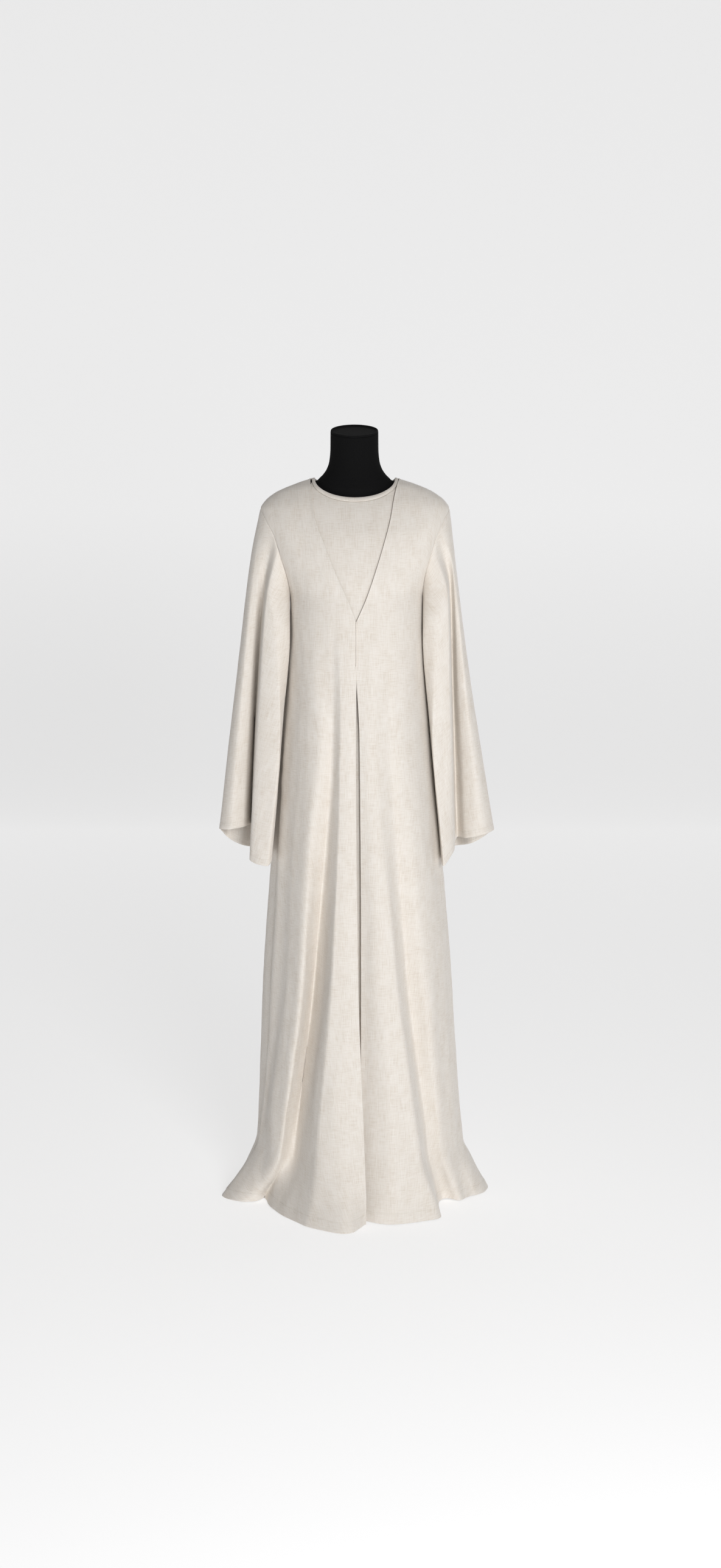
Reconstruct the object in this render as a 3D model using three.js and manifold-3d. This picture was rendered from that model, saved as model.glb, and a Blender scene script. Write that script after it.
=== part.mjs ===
// A floor-length linen abaya worn by a limbless dress form on a stand.
// Millimetres, +Z up, the front faces -Y, the wearer's right side is at -X.
// The origin is the centre of the stand's underside, on the floor.
import * as THREE from 'three';
import { mergeVertices } from 'three/addons/utils/BufferGeometryUtils.js';
import Module from 'manifold-3d';

const wasm = await Module();
wasm.setup();

// Driving dimensions.
const clothThickness = 2;
const seamGap = 0.3;
const roundness = 2.3; // exponent of the body's oval sections
const neckline = { half: 79, shift: -3, frontDrop: 38, backDrop: 14 };
const binding = { width: 6, proud: 0.6 };
const insetDepth = 3.1; // how far the inset's outer face lies below that of the fronts
const insetSpan = { overlap: 14, bottom: 1156, overlapFrom: 1445, overlapOver: 60, lastAngle: 86 };
const formDepth = 7.1; // how far the form lies below the outer face of the cloth it carries
const underarm = 1215;
const armhole = { middle: 1302, halfHeight: 87, halfDepth: 61 };
const vBottom = 1172;
const slitTop = 1087;
const hemRest = 2; // height of the hem's upper face where the cloth meets the floor
const pleat = { deep: 13, back: 6, reach: 0.5, tuck: 0.9 }; // the underlay's fold behind the slit
const stand = { baseRadius: 138, baseHeight: 12, bevel: 4, poleRadius: 13, formBottom: 760 };

// Oval sections of the garment: half width, depth of front and back, shift of the middle.
const bodySections = [
  { z: 1450, half: 79, front: 12, back: 16, shift: -3 },
  { z: 1447, half: 90, front: 25, back: 34, shift: -3 },
  { z: 1440, half: 112, front: 39, back: 52, shift: -3 },
  { z: 1430, half: 138, front: 51, back: 64, shift: -3 },
  { z: 1418, half: 161, front: 60, back: 73, shift: -3 },
  { z: 1405, half: 177, front: 70, back: 80, shift: -3 },
  { z: 1388, half: 187, front: 81, back: 87, shift: -3 },
  { z: 1370, half: 188, front: 91, back: 92, shift: -3 },
  { z: 1337, half: 179, front: 107, back: 98, shift: -2 },
  { z: 1295, half: 162, front: 120, back: 101, shift: -2 },
  { z: 1250, half: 141, front: 129, back: 102, shift: -1 },
  { z: 1215, half: 131, front: 132, back: 101, shift: 0 },
  { z: 1172, half: 132, front: 136, back: 100, shift: 0 },
  { z: 1087, half: 137, front: 143, back: 102, shift: 0 },
  { z: 950, half: 148, front: 152, back: 109, shift: 0 },
  { z: 500, half: 189, front: 186, back: 150, shift: 0 },
  { z: 120, half: 212, front: 214, back: 200, shift: 3 },
  { z: 60, half: 236, front: 232, back: 222, shift: 3 },
  { z: 0, half: 268, front: 262, back: 255, shift: 0 },
];

// The edge of each front beside the inset, as a distance from the middle.
const vEdge = [
  { z: 1447, right: 91, left: 84 },
  { z: 1436, right: 90, left: 80 },
  { z: 1407, right: 87, left: 73 },
  { z: 1372, right: 81, left: 67 },
  { z: 1326, right: 64, left: 55 },
  { z: 1267, right: 41, left: 37 },
  { z: 1215, right: 17.5, left: 19 },
  { z: vBottom, right: 0, left: 0 },
];

// Fold lines of one half of the skirt, from the middle of the front to the middle of the back.
// deg is the place at the underarm; x (outwards) and f (forwards) are the places at the waist,
// the knee, the ankle and the hem; round is the softness of the fold, 0 sharp to 1 soft.
const levels = { waist: 950, knee: 500, ankle: 120, hem: 0 };
const foldsRight = [
  { name: 'slit', deg: 0, round: 0.9, waist: [1, 152], knee: [-3, 190], ankle: [-17, 222], hem: [-20, 212] },
  { name: 'panel', deg: 6, round: 0.9, waist: [14, 154], knee: [22, 196], ankle: [30, 234], hem: [14, 284] },
  { name: 'ridge', deg: 13, round: 0.55, waist: [31, 152], knee: [48, 190], ankle: [81, 210], hem: [97, 226] },
  { name: 'trough', deg: 18, round: 0.7, waist: [44, 135], knee: [78, 104], ankle: [122, 94], hem: [150, 152] },
  { name: 'bank', deg: 25, round: 0.9, waist: [57, 137], knee: [86, 114], ankle: [132, 94], hem: [177, 86] },
  { name: 'notch', deg: 33, round: 0.9, waist: [70, 138], knee: [94, 136], ankle: [142, 108], hem: [187, 22] },
  { name: 'lobe', deg: 42, round: 0.9, waist: [86, 130], knee: [104, 160], ankle: [153, 123], hem: [200, 60] },
  { name: 'crease', deg: 54, round: 0.6, waist: [102, 114], knee: [130, 130], ankle: [181, 68], hem: [232, 64] },
  { name: 'hollow', deg: 70, round: 0.9, waist: [124, 80], knee: [148, 82], ankle: [191, 28], hem: [274, 32] },
  { name: 'seam', deg: 90, round: 0, waist: [143, 36], knee: [170, 48], ankle: [199, 2], hem: [270, -18] },
  { name: 'side', deg: 104, round: 0.9, waist: [151, -18], knee: [192, -16], ankle: [206, -44], hem: [248, -78] },
  { name: 'dip', deg: 118, round: 0.9, waist: [134, -62], knee: [158, -70], ankle: [172, -92], hem: [214, -128] },
  { name: 'swell', deg: 132, round: 0.8, waist: [112, -92], knee: [146, -128], ankle: [174, -168], hem: [240, -204] },
  { name: 'valley', deg: 146, round: 0.8, waist: [76, -100], knee: [92, -112], ankle: [108, -132], hem: [130, -168] },
  { name: 'roll', deg: 160, round: 0.8, waist: [46, -116], knee: [60, -160], ankle: [80, -206], hem: [100, -266] },
  { name: 'gutter', deg: 171, round: 0.9, waist: [20, -110], knee: [24, -136], ankle: [28, -160], hem: [34, -196] },
  { name: 'middle', deg: 180, round: 0.9, waist: [0, -108], knee: [0, -136], ankle: [0, -160], hem: [0, -194] },
];
const foldsLeft = [
  { name: 'slit', deg: 0, round: 0.9, waist: [6, 151], knee: [9, 174], ankle: [8, 184], hem: [4, 180] },
  { name: 'panel', deg: 7, round: 0.9, waist: [20, 153], knee: [42, 188], ankle: [66, 206], hem: [62, 222] },
  { name: 'ridge', deg: 16, round: 0.55, waist: [38, 150], knee: [78, 182], ankle: [129, 184], hem: [168, 172] },
  { name: 'trough', deg: 28, round: 0.7, waist: [64, 134], knee: [93, 134], ankle: [137, 104], hem: [164, 66] },
  { name: 'bank', deg: 36, round: 0.9, waist: [78, 132], knee: [106, 134], ankle: [150, 94], hem: [180, 36] },
  { name: 'lobe', deg: 47, round: 0.9, waist: [98, 120], knee: [134, 138], ankle: [172, 98], hem: [208, 60] },
  { name: 'crease', deg: 60, round: 0.9, waist: [118, 94], knee: [158, 104], ankle: [194, 60], hem: [226, 24] },
  { name: 'hollow', deg: 75, round: 0.9, waist: [135, 60], knee: [176, 62], ankle: [209, 28], hem: [254, 10] },
  { name: 'seam', deg: 90, round: 0, waist: [145, 24], knee: [188, 18], ankle: [217, -10], hem: [272, -40] },
  { name: 'side', deg: 105, round: 0.9, waist: [145, -28], knee: [184, -32], ankle: [206, -62], hem: [250, -100] },
  { name: 'dip', deg: 120, round: 0.9, waist: [126, -66], knee: [146, -82], ankle: [160, -108], hem: [190, -142] },
  { name: 'swell', deg: 134, round: 0.8, waist: [104, -96], knee: [132, -140], ankle: [158, -182], hem: [206, -226] },
  { name: 'valley', deg: 148, round: 0.8, waist: [72, -100], knee: [82, -118], ankle: [96, -138], hem: [112, -172] },
  { name: 'roll', deg: 162, round: 0.8, waist: [44, -114], knee: [52, -156], ankle: [64, -200], hem: [76, -250] },
  { name: 'gutter', deg: 172, round: 0.9, waist: [18, -109], knee: [20, -137], ankle: [22, -163], hem: [26, -198] },
  { name: 'middle', deg: 180, round: 0.9, waist: [0, -108], knee: [0, -136], ankle: [0, -160], hem: [0, -194] },
];

// Fold lines round a sleeve, from the outside over the front. deg is the place on the armhole,
// x (outwards) and f (forwards) the places near the crown, halfway down and at the hem, and z
// the height of the hem.
const sleeveLevels = { crown: 0.15, half: 0.5, hem: 1 };
const sleeveRightFolds = [
  { name: 'outer', deg: 0, crown: [209, 0], half: [237, 0], hem: [276, 2], z: 753 },
  { name: 'flat', deg: 32, crown: [200, 34], half: [222, 34], hem: [250, 34], z: 756 },
  { name: 'lip', deg: 50, crown: [191, 38], half: [208, 28], hem: [224, 18], z: 759 },
  { name: 'trough', deg: 68, crown: [181, 32], half: [199, -8], hem: [212, -26], z: 760 },
  { name: 'ridge', deg: 86, crown: [175, 72], half: [192, 68], hem: [212, 68], z: 702 },
  { name: 'front', deg: 122, crown: [156, 78], half: [150, 84], hem: [176, 88], z: 690 },
  { name: 'inner', deg: 150, crown: [130, 58], half: [146, 58], hem: [168, 66], z: 700 },
  { name: 'under', deg: 180, crown: [145, -2], half: [155, -4], hem: [182, 0], z: 706 },
  { name: 'tuck', deg: 215, crown: [144, -54], half: [146, -70], hem: [172, -84], z: 704 },
  { name: 'back', deg: 255, crown: [170, -81], half: [184, -92], hem: [202, -106], z: 700 },
  { name: 'fold', deg: 292, crown: [194, -64], half: [214, -52], hem: [236, -62], z: 712 },
  { name: 'rear', deg: 328, crown: [205, -38], half: [232, -48], hem: [264, -52], z: 730 },
];
const sleeveLeftFolds = [
  { name: 'outer', deg: 0, crown: [195, 0], half: [224, 0], hem: [277, 0], z: 751 },
  { name: 'flat', deg: 32, crown: [192, 34], half: [212, 36], hem: [248, 34], z: 744 },
  { name: 'lip', deg: 50, crown: [190, 40], half: [201, 28], hem: [218, 18], z: 736 },
  { name: 'trough', deg: 68, crown: [184, 28], half: [192, -6], hem: [203, -22], z: 733 },
  { name: 'ridge', deg: 86, crown: [178, 70], half: [184, 66], hem: [192, 64], z: 716 },
  { name: 'front', deg: 122, crown: [156, 76], half: [150, 78], hem: [172, 86], z: 690 },
  { name: 'inner', deg: 150, crown: [130, 58], half: [145, 57], hem: [168, 64], z: 694 },
  { name: 'under', deg: 180, crown: [142, -2], half: [152, -4], hem: [180, 0], z: 702 },
  { name: 'tuck', deg: 215, crown: [141, -54], half: [144, -70], hem: [170, -84], z: 702 },
  { name: 'back', deg: 255, crown: [166, -81], half: [180, -90], hem: [204, -102], z: 704 },
  { name: 'fold', deg: 292, crown: [186, -62], half: [204, -52], hem: [236, -58], z: 716 },
  { name: 'rear', deg: 328, crown: [192, -38], half: [220, -46], hem: [264, -50], z: 734 },
];

// The bare form: oval sections of its trunk below the underarm, and of its neck.
const trunkSections = [
  { z: 1172, half: 121, front: 124, back: 90 },
  { z: 1100, half: 105, front: 104, back: 78 },
  { z: 1030, half: 100, front: 89, back: 72 },
  { z: 950, half: 114, front: 92, back: 84 },
  { z: 870, half: 134, front: 98, back: 98 },
  { z: 800, half: 141, front: 98, back: 104 },
  { z: 772, half: 139, front: 96, back: 102 },
  { z: 760, half: 130, front: 88, back: 94 },
];
const neckSections = [
  { z: 1370, half: 76, front: 56, back: 54 },
  { z: 1424, half: 79, front: 56, back: 52 },
  { z: 1440, half: 76, front: 53, back: 50 },
  { z: 1448, half: 70, front: 51, back: 48 },
  { z: 1456, half: 62, front: 50, back: 46.5 },
  { z: 1468, half: 54, front: 48.5, back: 45.5 },
  { z: 1482, half: 49.5, front: 47.5, back: 45 },
  { z: 1505, half: 47, front: 47, back: 44.5 },
  { z: 1537, half: 46.5, front: 47, back: 44.5 },
];
const neckShift = -4; // the neck's middle lies a little to the right
const neckCut = { slope: Math.tan(0.28), from: 1482 }; // the top slopes down to the front
const cap = { thickness: 3, share: 0.94 };

const colours = { linen: 0xd9cfc0, form: 0x151515, metal: 0x2a2a2a };

// Curves.
const mix = (a, b, t) => a + (b - a) * t;
const ease = (t) => t * t * (3 - 2 * t);
const clamp = THREE.MathUtils.clamp;
const rad = THREE.MathUtils.degToRad;
const deg = THREE.MathUtils.radToDeg;

// A smooth curve through rows of [at, value] that never overshoots them.
function through(rows) {
  const p = [...rows].sort((a, b) => a[0] - b[0]);
  const step = p.slice(1).map((q, i) => (q[1] - p[i][1]) / (q[0] - p[i][0]));
  const slope = p.map((_, i) => {
    if (i === 0) return step[0];
    if (i === p.length - 1) return step[i - 1];
    const [a, b] = [step[i - 1], step[i]];
    return a * b <= 0 ? 0 : (2 * a * b) / (a + b);
  });
  return (at) => {
    const x = clamp(at, p[0][0], p[p.length - 1][0]);
    let i = 0;
    while (i < p.length - 2 && x > p[i + 1][0]) i++;
    const h = p[i + 1][0] - p[i][0];
    const t = (x - p[i][0]) / h;
    const s = ease(t);
    const bend = h * t * (1 - t) * ((1 - t) * slope[i] - t * slope[i + 1]);
    return mix(p[i][1], p[i + 1][1], s) + bend;
  };
}
const column = (rows, name, at = 'z') => through(rows.map((r) => [r[at], r[name]]));

// The columns between keys: every inner key's corner is cut off, unless it has no roundness.
// Each column says which keys it lies between, and how far along.
function columnsBetween(keys) {
  const columns = [{ key: 0, next: 0, share: 0 }];
  for (let key = 1; key < keys.length - 1; key++) {
    if (keys[key].round === 0) columns.push({ key, next: key, share: 0 });
    else for (const next of [key - 1, key + 1]) columns.push({ key, next, share: keys[key].round / 4 });
  }
  columns.push({ key: keys.length - 1, next: keys.length - 1, share: 0 });
  return columns;
}

// The garment's smooth base.
const body = {
  half: column(bodySections, 'half'),
  front: column(bodySections, 'front'),
  back: column(bodySections, 'back'),
  shift: column(bodySections, 'shift'),
};
// The height at which the shoulder is so wide, found by halving.
function shoulderHeight(half) {
  let [low, high] = [bodySections[7].z, bodySections[0].z];
  for (let i = 0; i < 40; i++) {
    const middle = (low + high) / 2;
    if (body.half(middle) > half) low = middle;
    else high = middle;
  }
  return (low + high) / 2;
}
const power = 2 / roundness;

// Degrees run from 0 at the front over 90 at the side to 180 at the back; side is -1 or 1.
function onBody(side, degrees, z) {
  const [s, c] = [Math.sin(rad(degrees)), Math.cos(rad(degrees))];
  const depth = c >= 0 ? -body.front(z) : body.back(z);
  const x = body.shift(z) + side * body.half(z) * Math.max(s, 0) ** power;
  return new THREE.Vector3(x, depth * Math.abs(c) ** power, z);
}
function degreesAtX(side, x, z) {
  const share = clamp((side * (x - body.shift(z))) / body.half(z), 0, 1);
  return deg(Math.asin(share ** (1 / power)));
}
function degreesAtDepth(y, z) {
  const depth = y <= 0 ? body.front(z) : body.back(z);
  const angle = deg(Math.acos(clamp(Math.abs(y) / depth, 0, 1) ** (1 / power)));
  return y <= 0 ? angle : 180 - angle;
}
const fullness = (p) =>
  (Math.abs(p.x - body.shift(p.z)) / body.half(p.z)) ** roundness +
  (Math.abs(p.y) / (p.y < 0 ? body.front(p.z) : body.back(p.z))) ** roundness;
function bodyNormal(p) {
  const h = 0.4;
  const slope = (dx, dy, dz) =>
    fullness(new THREE.Vector3(p.x + dx, p.y + dy, p.z + dz)) -
    fullness(new THREE.Vector3(p.x - dx, p.y - dy, p.z - dz));
  return new THREE.Vector3(slope(h, 0, 0), slope(0, h, 0), slope(0, 0, h)).normalize();
}

// The armhole: 0 at the shoulder tip, 90 at the front, 180 at the underarm.
function onArmhole(side, degrees) {
  const z = armhole.middle + armhole.halfHeight * Math.cos(rad(degrees));
  const y = -armhole.halfDepth * Math.sin(rad(degrees));
  return onBody(side, degreesAtDepth(y, z), z);
}

// The neckline: 0 at the front, 90 at the shoulder, 180 at the back.
function onNeckline(side, degrees, outwards = 0) {
  const [s, c] = [Math.sin(rad(degrees)), Math.cos(rad(degrees))];
  const drop = c >= 0 ? neckline.frontDrop : neckline.backDrop;
  const z = shoulderHeight(neckline.half + outwards) - (drop + outwards) * Math.abs(c);
  const x = neckline.shift + side * (neckline.half + outwards) * Math.abs(s);
  const around = degreesAtX(side, x, z);
  return onBody(side, c >= 0 ? around : 180 - around, z);
}
// How far the front of the binding reaches from the middle at a height.
function bindingReach(side, z) {
  const outwards = binding.width + seamGap;
  const down = shoulderHeight(neckline.half + outwards) - z;
  const share = clamp(down / (neckline.frontDrop + outwards), 0, 1);
  return side * neckline.shift + (neckline.half + outwards) * Math.sqrt(1 - share ** 2);
}

// Half of the garment's body.
const rowBias = 1.35; // the upper rows lie closer together near the shoulder
const underBlend = 45; // degrees beside the underarm over which a sleeve's top turns to its own normal
const neckColumns = 7; // the back's columns that end at the neckline, on each half
const armAngles = [0, 8, 18, 32, 50, 68, 86, 104, 122, 140, 160]; // the upper rows meet the armhole
const lowerHeights = [vBottom, 1130, slitTop, 1020, 950, 850, 740, 620, 500, 380, 270, 185, 120, 78, 46, 22, hemRest];

// (degrees, height) inside a patch whose four edges are given, each from 0 to 1.
function patch(top, bottom, start, end, s, r) {
  return [0, 1].map((c) => {
    const across = mix(top(s)[c], bottom(s)[c], r);
    const down = mix(start(r)[c], end(r)[c], s);
    const corners = mix(mix(top(0)[c], top(1)[c], s), mix(bottom(0)[c], bottom(1)[c], s), r);
    return across + down - corners;
  });
}

function halfBody(side, folds) {
  const edgeName = side < 0 ? 'right' : 'left';
  const vLine = column(vEdge, edgeName);
  const vAt = (z) => Math.max(vLine(z), bindingReach(side, z));
  const vDegrees = (z) => (z <= vBottom ? 0 : degreesAtX(side, side * vAt(z), z));
  const seamKey = folds.findIndex((f) => f.name === 'seam');
  const heights = Object.entries(levels);
  const moved = folds.map((fold) =>
    [0, 1].map((axis) =>
      through([
        [vBottom, 0],
        ...(fold.name === 'slit' && axis === 0 ? [[slitTop, 0]] : []), // it stays shut down to its top
        ...heights.map(([level, z]) => {
          const base = onBody(side, fold.deg, z);
          const wanted = [side * fold[level][0], -fold[level][1]][axis];
          return [z, wanted - (axis ? base.y : base.x)];
        }),
      ]),
    ),
  );

  const columns = columnsBetween(folds);
  const degreesOf = ({ key, next, share }) => mix(folds[key].deg, folds[next].deg, share);
  const seamColumn = columns.findIndex(({ key }) => key === seamKey);

  function ringAt(z) {
    const start = vDegrees(z);
    return columns.map((c) => {
      const p = onBody(side, start + degreesOf(c) * (1 - start / 180), z);
      if (z >= vBottom) return p;
      const move = [0, 1].map((axis) => mix(moved[c.key][axis](z), moved[c.next][axis](z), c.share));
      return p.add(new THREE.Vector3(...move, 0));
    });
  }

  // Above the underarm the front runs from the V to the armhole, the back from the middle to it.
  const tip = onArmhole(side, 0);
  const tipHalf = side * (tip.x - body.shift(tip.z));
  const shoulder = (from) => (s) => [90, shoulderHeight(mix(from, tipHalf, s))];
  const corner = onNeckline(side, 90, binding.width + seamGap);
  const vShoulder = side * (corner.x - body.shift(corner.z));
  const frontTop = shoulder(vShoulder);
  const frontStart = (r) => {
    const z = mix(shoulderHeight(vShoulder), underarm, r ** rowBias);
    return [r === 0 ? 90 : vDegrees(z), z];
  };
  const frontBottom = (s) => [mix(vDegrees(underarm), 90, s), underarm];
  const armDegrees = (angle) => {
    const p = onArmhole(side, angle);
    return [degreesAtDepth(p.y, p.z), p.z];
  };
  const frontEnd = (r) => armDegrees(180 * r);
  const frontColumns = columns.slice(0, seamColumn + 1);
  const backColumns = columns.slice(seamColumn);
  const neckShare = neckColumns / (backColumns.length - 1);
  const backNeck = onNeckline(side, 180, binding.width + seamGap);
  const backTop = (s) => {
    if (s >= neckShare) return shoulder(vShoulder)((s - neckShare) / (1 - neckShare));
    const p = onNeckline(side, 180 - 90 * (s / neckShare), binding.width + seamGap);
    return [degreesAtDepth(Math.max(p.y, 0), p.z), p.z];
  };
  const backStart = (r) => [180, mix(backNeck.z, underarm, r ** rowBias)];
  const backBottom = (s) => [mix(180, 90, s), underarm];
  const backEnd = (r) => armDegrees(360 - 180 * r);

  // The columns are evenly spaced at the top, and reach the folds' own places at the underarm.
  function upperRow(r) {
    const spread = (list, share) =>
      list.map((c, i) => mix(i / (list.length - 1), share(degreesOf(c)), ease(r)));
    const front = spread(frontColumns, (d) => d / 90).map((s) => {
      const [d, z] = patch(frontTop, frontBottom, frontStart, frontEnd, s, r);
      return onBody(side, clamp(d, 0, 90), z);
    });
    const back = spread([...backColumns].reverse(), (d) => (180 - d) / 90).map((s) => {
      const [d, z] = patch(backTop, backBottom, backStart, backEnd, s, r);
      return onBody(side, clamp(d, 90, 180), z);
    });
    return { front, back: back.reverse(), upper: true };
  }

  const rows = armAngles.map((angle) => upperRow(angle / 180));
  for (const z of [underarm, ...lowerHeights]) {
    const ring = ringAt(z);
    const parts = { front: ring.slice(0, seamColumn + 1), back: ring.slice(seamColumn) };
    rows.push({ ...parts, upper: z > vBottom, z });
  }
  addNormals(rows, side);
  return rows;
}

function addNormals(rows, side) {
  rows.forEach((row, j) => {
    for (const part of ['front', 'back']) {
      const line = row[part];
      row[part + 'Normals'] = line.map((p, i) => {
        if (row.upper) return bodyNormal(p);
        const above = rows[j - 1][part][i];
        const below = (rows[j + 1] ?? row)[part][i];
        let before = line[i - 1] ?? p;
        let after = line[i + 1] ?? p;
        if (part === 'front' && i === line.length - 1) after = row.back[1];
        if (part === 'back' && i === 0) before = row.front[row.front.length - 2];
        const n = after.clone().sub(before).cross(below.clone().sub(above)).normalize();
        n.multiplyScalar(-side);
        const onSeam = part === 'front' && i === 0 && row.z >= slitTop;
        const onBackMiddle = part === 'back' && i === line.length - 1;
        if (onSeam || onBackMiddle) n.setX(0).normalize();
        return n;
      });
    }
  });
}

// Walls.
// Moves the edge lines of a grid inwards over the surface, to leave the seams' gaps.
function pullEdges(grid, { start = 0, end = 0, top = 0 }) {
  const pulled = grid.map((line) => line.map((p) => p.clone()));
  const towards = (p, q, by) => p.clone().add(q.clone().sub(p).setLength(by));
  grid.forEach((line, j) => {
    const last = line.length - 1;
    const by = (amount) => (typeof amount === 'function' ? amount(j) : amount);
    if (by(start)) pulled[j][0] = towards(line[0], line[1], by(start));
    if (by(end)) pulled[j][last] = towards(line[last], line[last - 1], by(end));
  });
  if (top) grid[0].forEach((p, i) => pulled[0][i].add(grid[1][i].clone().sub(p).setLength(top)));
  return pulled;
}

function solidOf(positions, triangles) {
  const geometry = new THREE.BufferGeometry();
  geometry.setAttribute('position', new THREE.Float32BufferAttribute(positions, 3));
  geometry.setIndex(triangles);
  let volume = 0;
  const at = (i) => new THREE.Vector3().fromArray(positions, 3 * i);
  for (let t = 0; t < triangles.length; t += 3) {
    const [a, b, c] = [0, 1, 2].map((k) => at(triangles[t + k]));
    volume += a.dot(b.cross(c));
  }
  if (volume < 0) geometry.setIndex(triangles.map((_, t) => triangles[t - (t % 3) + 2 - (t % 3)]));
  return geometry;
}

// A wall between a grid of outer points and one of inner points; a closed grid wraps round.
function wallBetween(outer, inner, closed = false) {
  const [rows, cols] = [outer.length, outer[0].length];
  const positions = [...outer.flat(), ...inner.flat()].flatMap((p) => [p.x, p.y, p.z]);
  const at = (layer, j, i) => layer * rows * cols + j * cols + (i % cols);
  const triangles = [];
  const quad = (a, b, c, d) => triangles.push(a, b, c, a, c, d);
  const around = closed ? cols : cols - 1;
  for (let j = 0; j < rows - 1; j++) {
    for (let i = 0; i < around; i++) {
      quad(at(0, j, i), at(0, j + 1, i), at(0, j + 1, i + 1), at(0, j, i + 1));
      quad(at(1, j, i), at(1, j, i + 1), at(1, j + 1, i + 1), at(1, j + 1, i));
    }
    if (!closed) {
      quad(at(0, j, 0), at(1, j, 0), at(1, j + 1, 0), at(0, j + 1, 0));
      quad(at(0, j, cols - 1), at(0, j + 1, cols - 1), at(1, j + 1, cols - 1), at(1, j, cols - 1));
    }
  }
  for (let i = 0; i < around; i++) {
    quad(at(0, 0, i), at(0, 0, i + 1), at(1, 0, i + 1), at(1, 0, i));
    const j = rows - 1;
    quad(at(0, j, i), at(1, j, i), at(1, j, i + 1), at(0, j, i + 1));
  }
  return solidOf(positions, triangles);
}

const behind = (grid, normals, by) =>
  grid.map((line, j) => line.map((p, i) => p.clone().addScaledVector(normals[j][i], -by)));

// The lowest line of a wall rests on the floor.
function onFloor(inner) {
  const last = inner.length - 1;
  inner[last].forEach((p) => p.setZ(0));
  inner.forEach((line) => line.forEach((p) => p.setZ(Math.max(p.z, 0))));
  return inner;
}

// Cloth panels.
const right = halfBody(-1, foldsRight);
const left = halfBody(1, foldsLeft);

function panel(rows, part, pulls) {
  const outer = pullEdges(rows.map((r) => r[part]), pulls);
  return wallBetween(outer, onFloor(behind(outer, rows.map((r) => r[part + 'Normals']), clothThickness)));
}
const halfGap = seamGap / 2;
const closedFront = (rows) => (j) => (rows[j].z >= slitTop && rows[j].z <= vBottom ? halfGap : 0);
const frontPanel = (rows) => panel(rows, 'front', { start: closedFront(rows), end: halfGap, top: halfGap });

// The back is one piece, from the right side seam to the left one.
const backRows = right.map((row, j) => ({
  back: [...row.back, ...left[j].back.slice(0, -1).reverse()],
  backNormals: [...row.backNormals, ...left[j].backNormals.slice(0, -1).reverse()],
}));
const backPanel = () => panel(backRows, 'back', { start: halfGap, end: halfGap, top: halfGap });

// The underlay folds in behind the slit, from one front to the other.
function pleatUnderlay() {
  const rows = right.map((row, j) => [row, left[j]]).filter(([row]) => row.z < vBottom);
  const lineOf = (r, l) => {
    const under = (row, i, share, by) => {
      const p = row.front[i].clone().lerp(row.front[i + 1], share);
      return p.addScaledVector(row.frontNormals[i], -by);
    };
    const below = clothThickness + 2 * seamGap;
    const fold = under(l, 0, 0, below + pleat.deep).setX(Math.min(r.front[0].x, l.front[0].x) - pleat.back);
    const from = under(r, 0, pleat.tuck, below);
    const to = under(l, 0, pleat.tuck, below);
    return [from, from.clone().lerp(fold, pleat.reach), fold, to.clone().lerp(fold, pleat.reach), to];
  };
  const outer = rows.map(([r, l]) => lineOf(r, l));
  const inward = new THREE.Vector3(0, -1, 0);
  return wallBetween(outer, onFloor(behind(outer, outer.map((line) => line.map(() => inward)), clothThickness)));
}

// The inset fills the V, and runs on under the edges of the fronts.
function inset() {
  const angles = [0, 9, 18, 27, 36, 45, 54, 63, 72, 81, insetSpan.lastAngle];
  const shares = [0, 0.05, 0.1, 0.16, 0.24, 0.33, 0.44, 0.56, 0.68, 0.8, 0.91, 1];
  const halves = [-1, 1].map((side) => {
    const vLine = column(vEdge, side < 0 ? 'right' : 'left');
    const edge = (z) => vLine(z) + insetSpan.overlap * ease(clamp((insetSpan.overlapFrom - z) / insetSpan.overlapOver, 0, 1));
    return angles.map((angle) => {
      const top = onNeckline(side, angle, binding.width + seamGap);
      return shares.map((share) => {
        const z = mix(top.z, insetSpan.bottom, share);
        const p = onBody(side, degreesAtX(side, (top.x * edge(z)) / edge(top.z), z), z);
        return p.addScaledVector(bodyNormal(p), -insetDepth);
      });
    });
  });
  const lines = [...halves[0].reverse(), ...halves[1].slice(1)];
  const outer = shares.map((_, j) => lines.map((line) => line[j]));
  const normals = outer.map((line) => line.map((p) => bodyNormal(p)));
  return wallBetween(outer, behind(outer, normals, clothThickness));
}

// The binding holds the top edges of the inset and the back, all round the neck.
function neckBinding() {
  const front = [0, 9, 18, 27, 36, 45, 54, 63, 72, 81];
  const back = Array.from({ length: neckColumns + 1 }, (_, i) => 90 + (90 * i) / neckColumns);
  const half = [...front, ...back];
  const around = [...half.map((d) => [-1, d]), ...half.slice(1, -1).reverse().map((d) => [1, d])];
  const lineAt = (outwards, lift) =>
    around.map(([side, degrees]) => {
      const p = onNeckline(side, degrees, outwards);
      return p.addScaledVector(bodyNormal(onNeckline(side, degrees, binding.width / 2)), lift);
    });
  const depth = -insetDepth - clothThickness;
  const outer = [lineAt(0, binding.proud), lineAt(binding.width, binding.proud)];
  return wallBetween(outer, [lineAt(0, depth), lineAt(binding.width, depth)], true);
}

// Sleeves.
const sleeveShares = [0, 0.03, 0.07, 0.11, 0.15, 0.21, 0.28, 0.36, 0.45, 0.55, 0.65, 0.75, 0.85, 0.94, 1];

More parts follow.
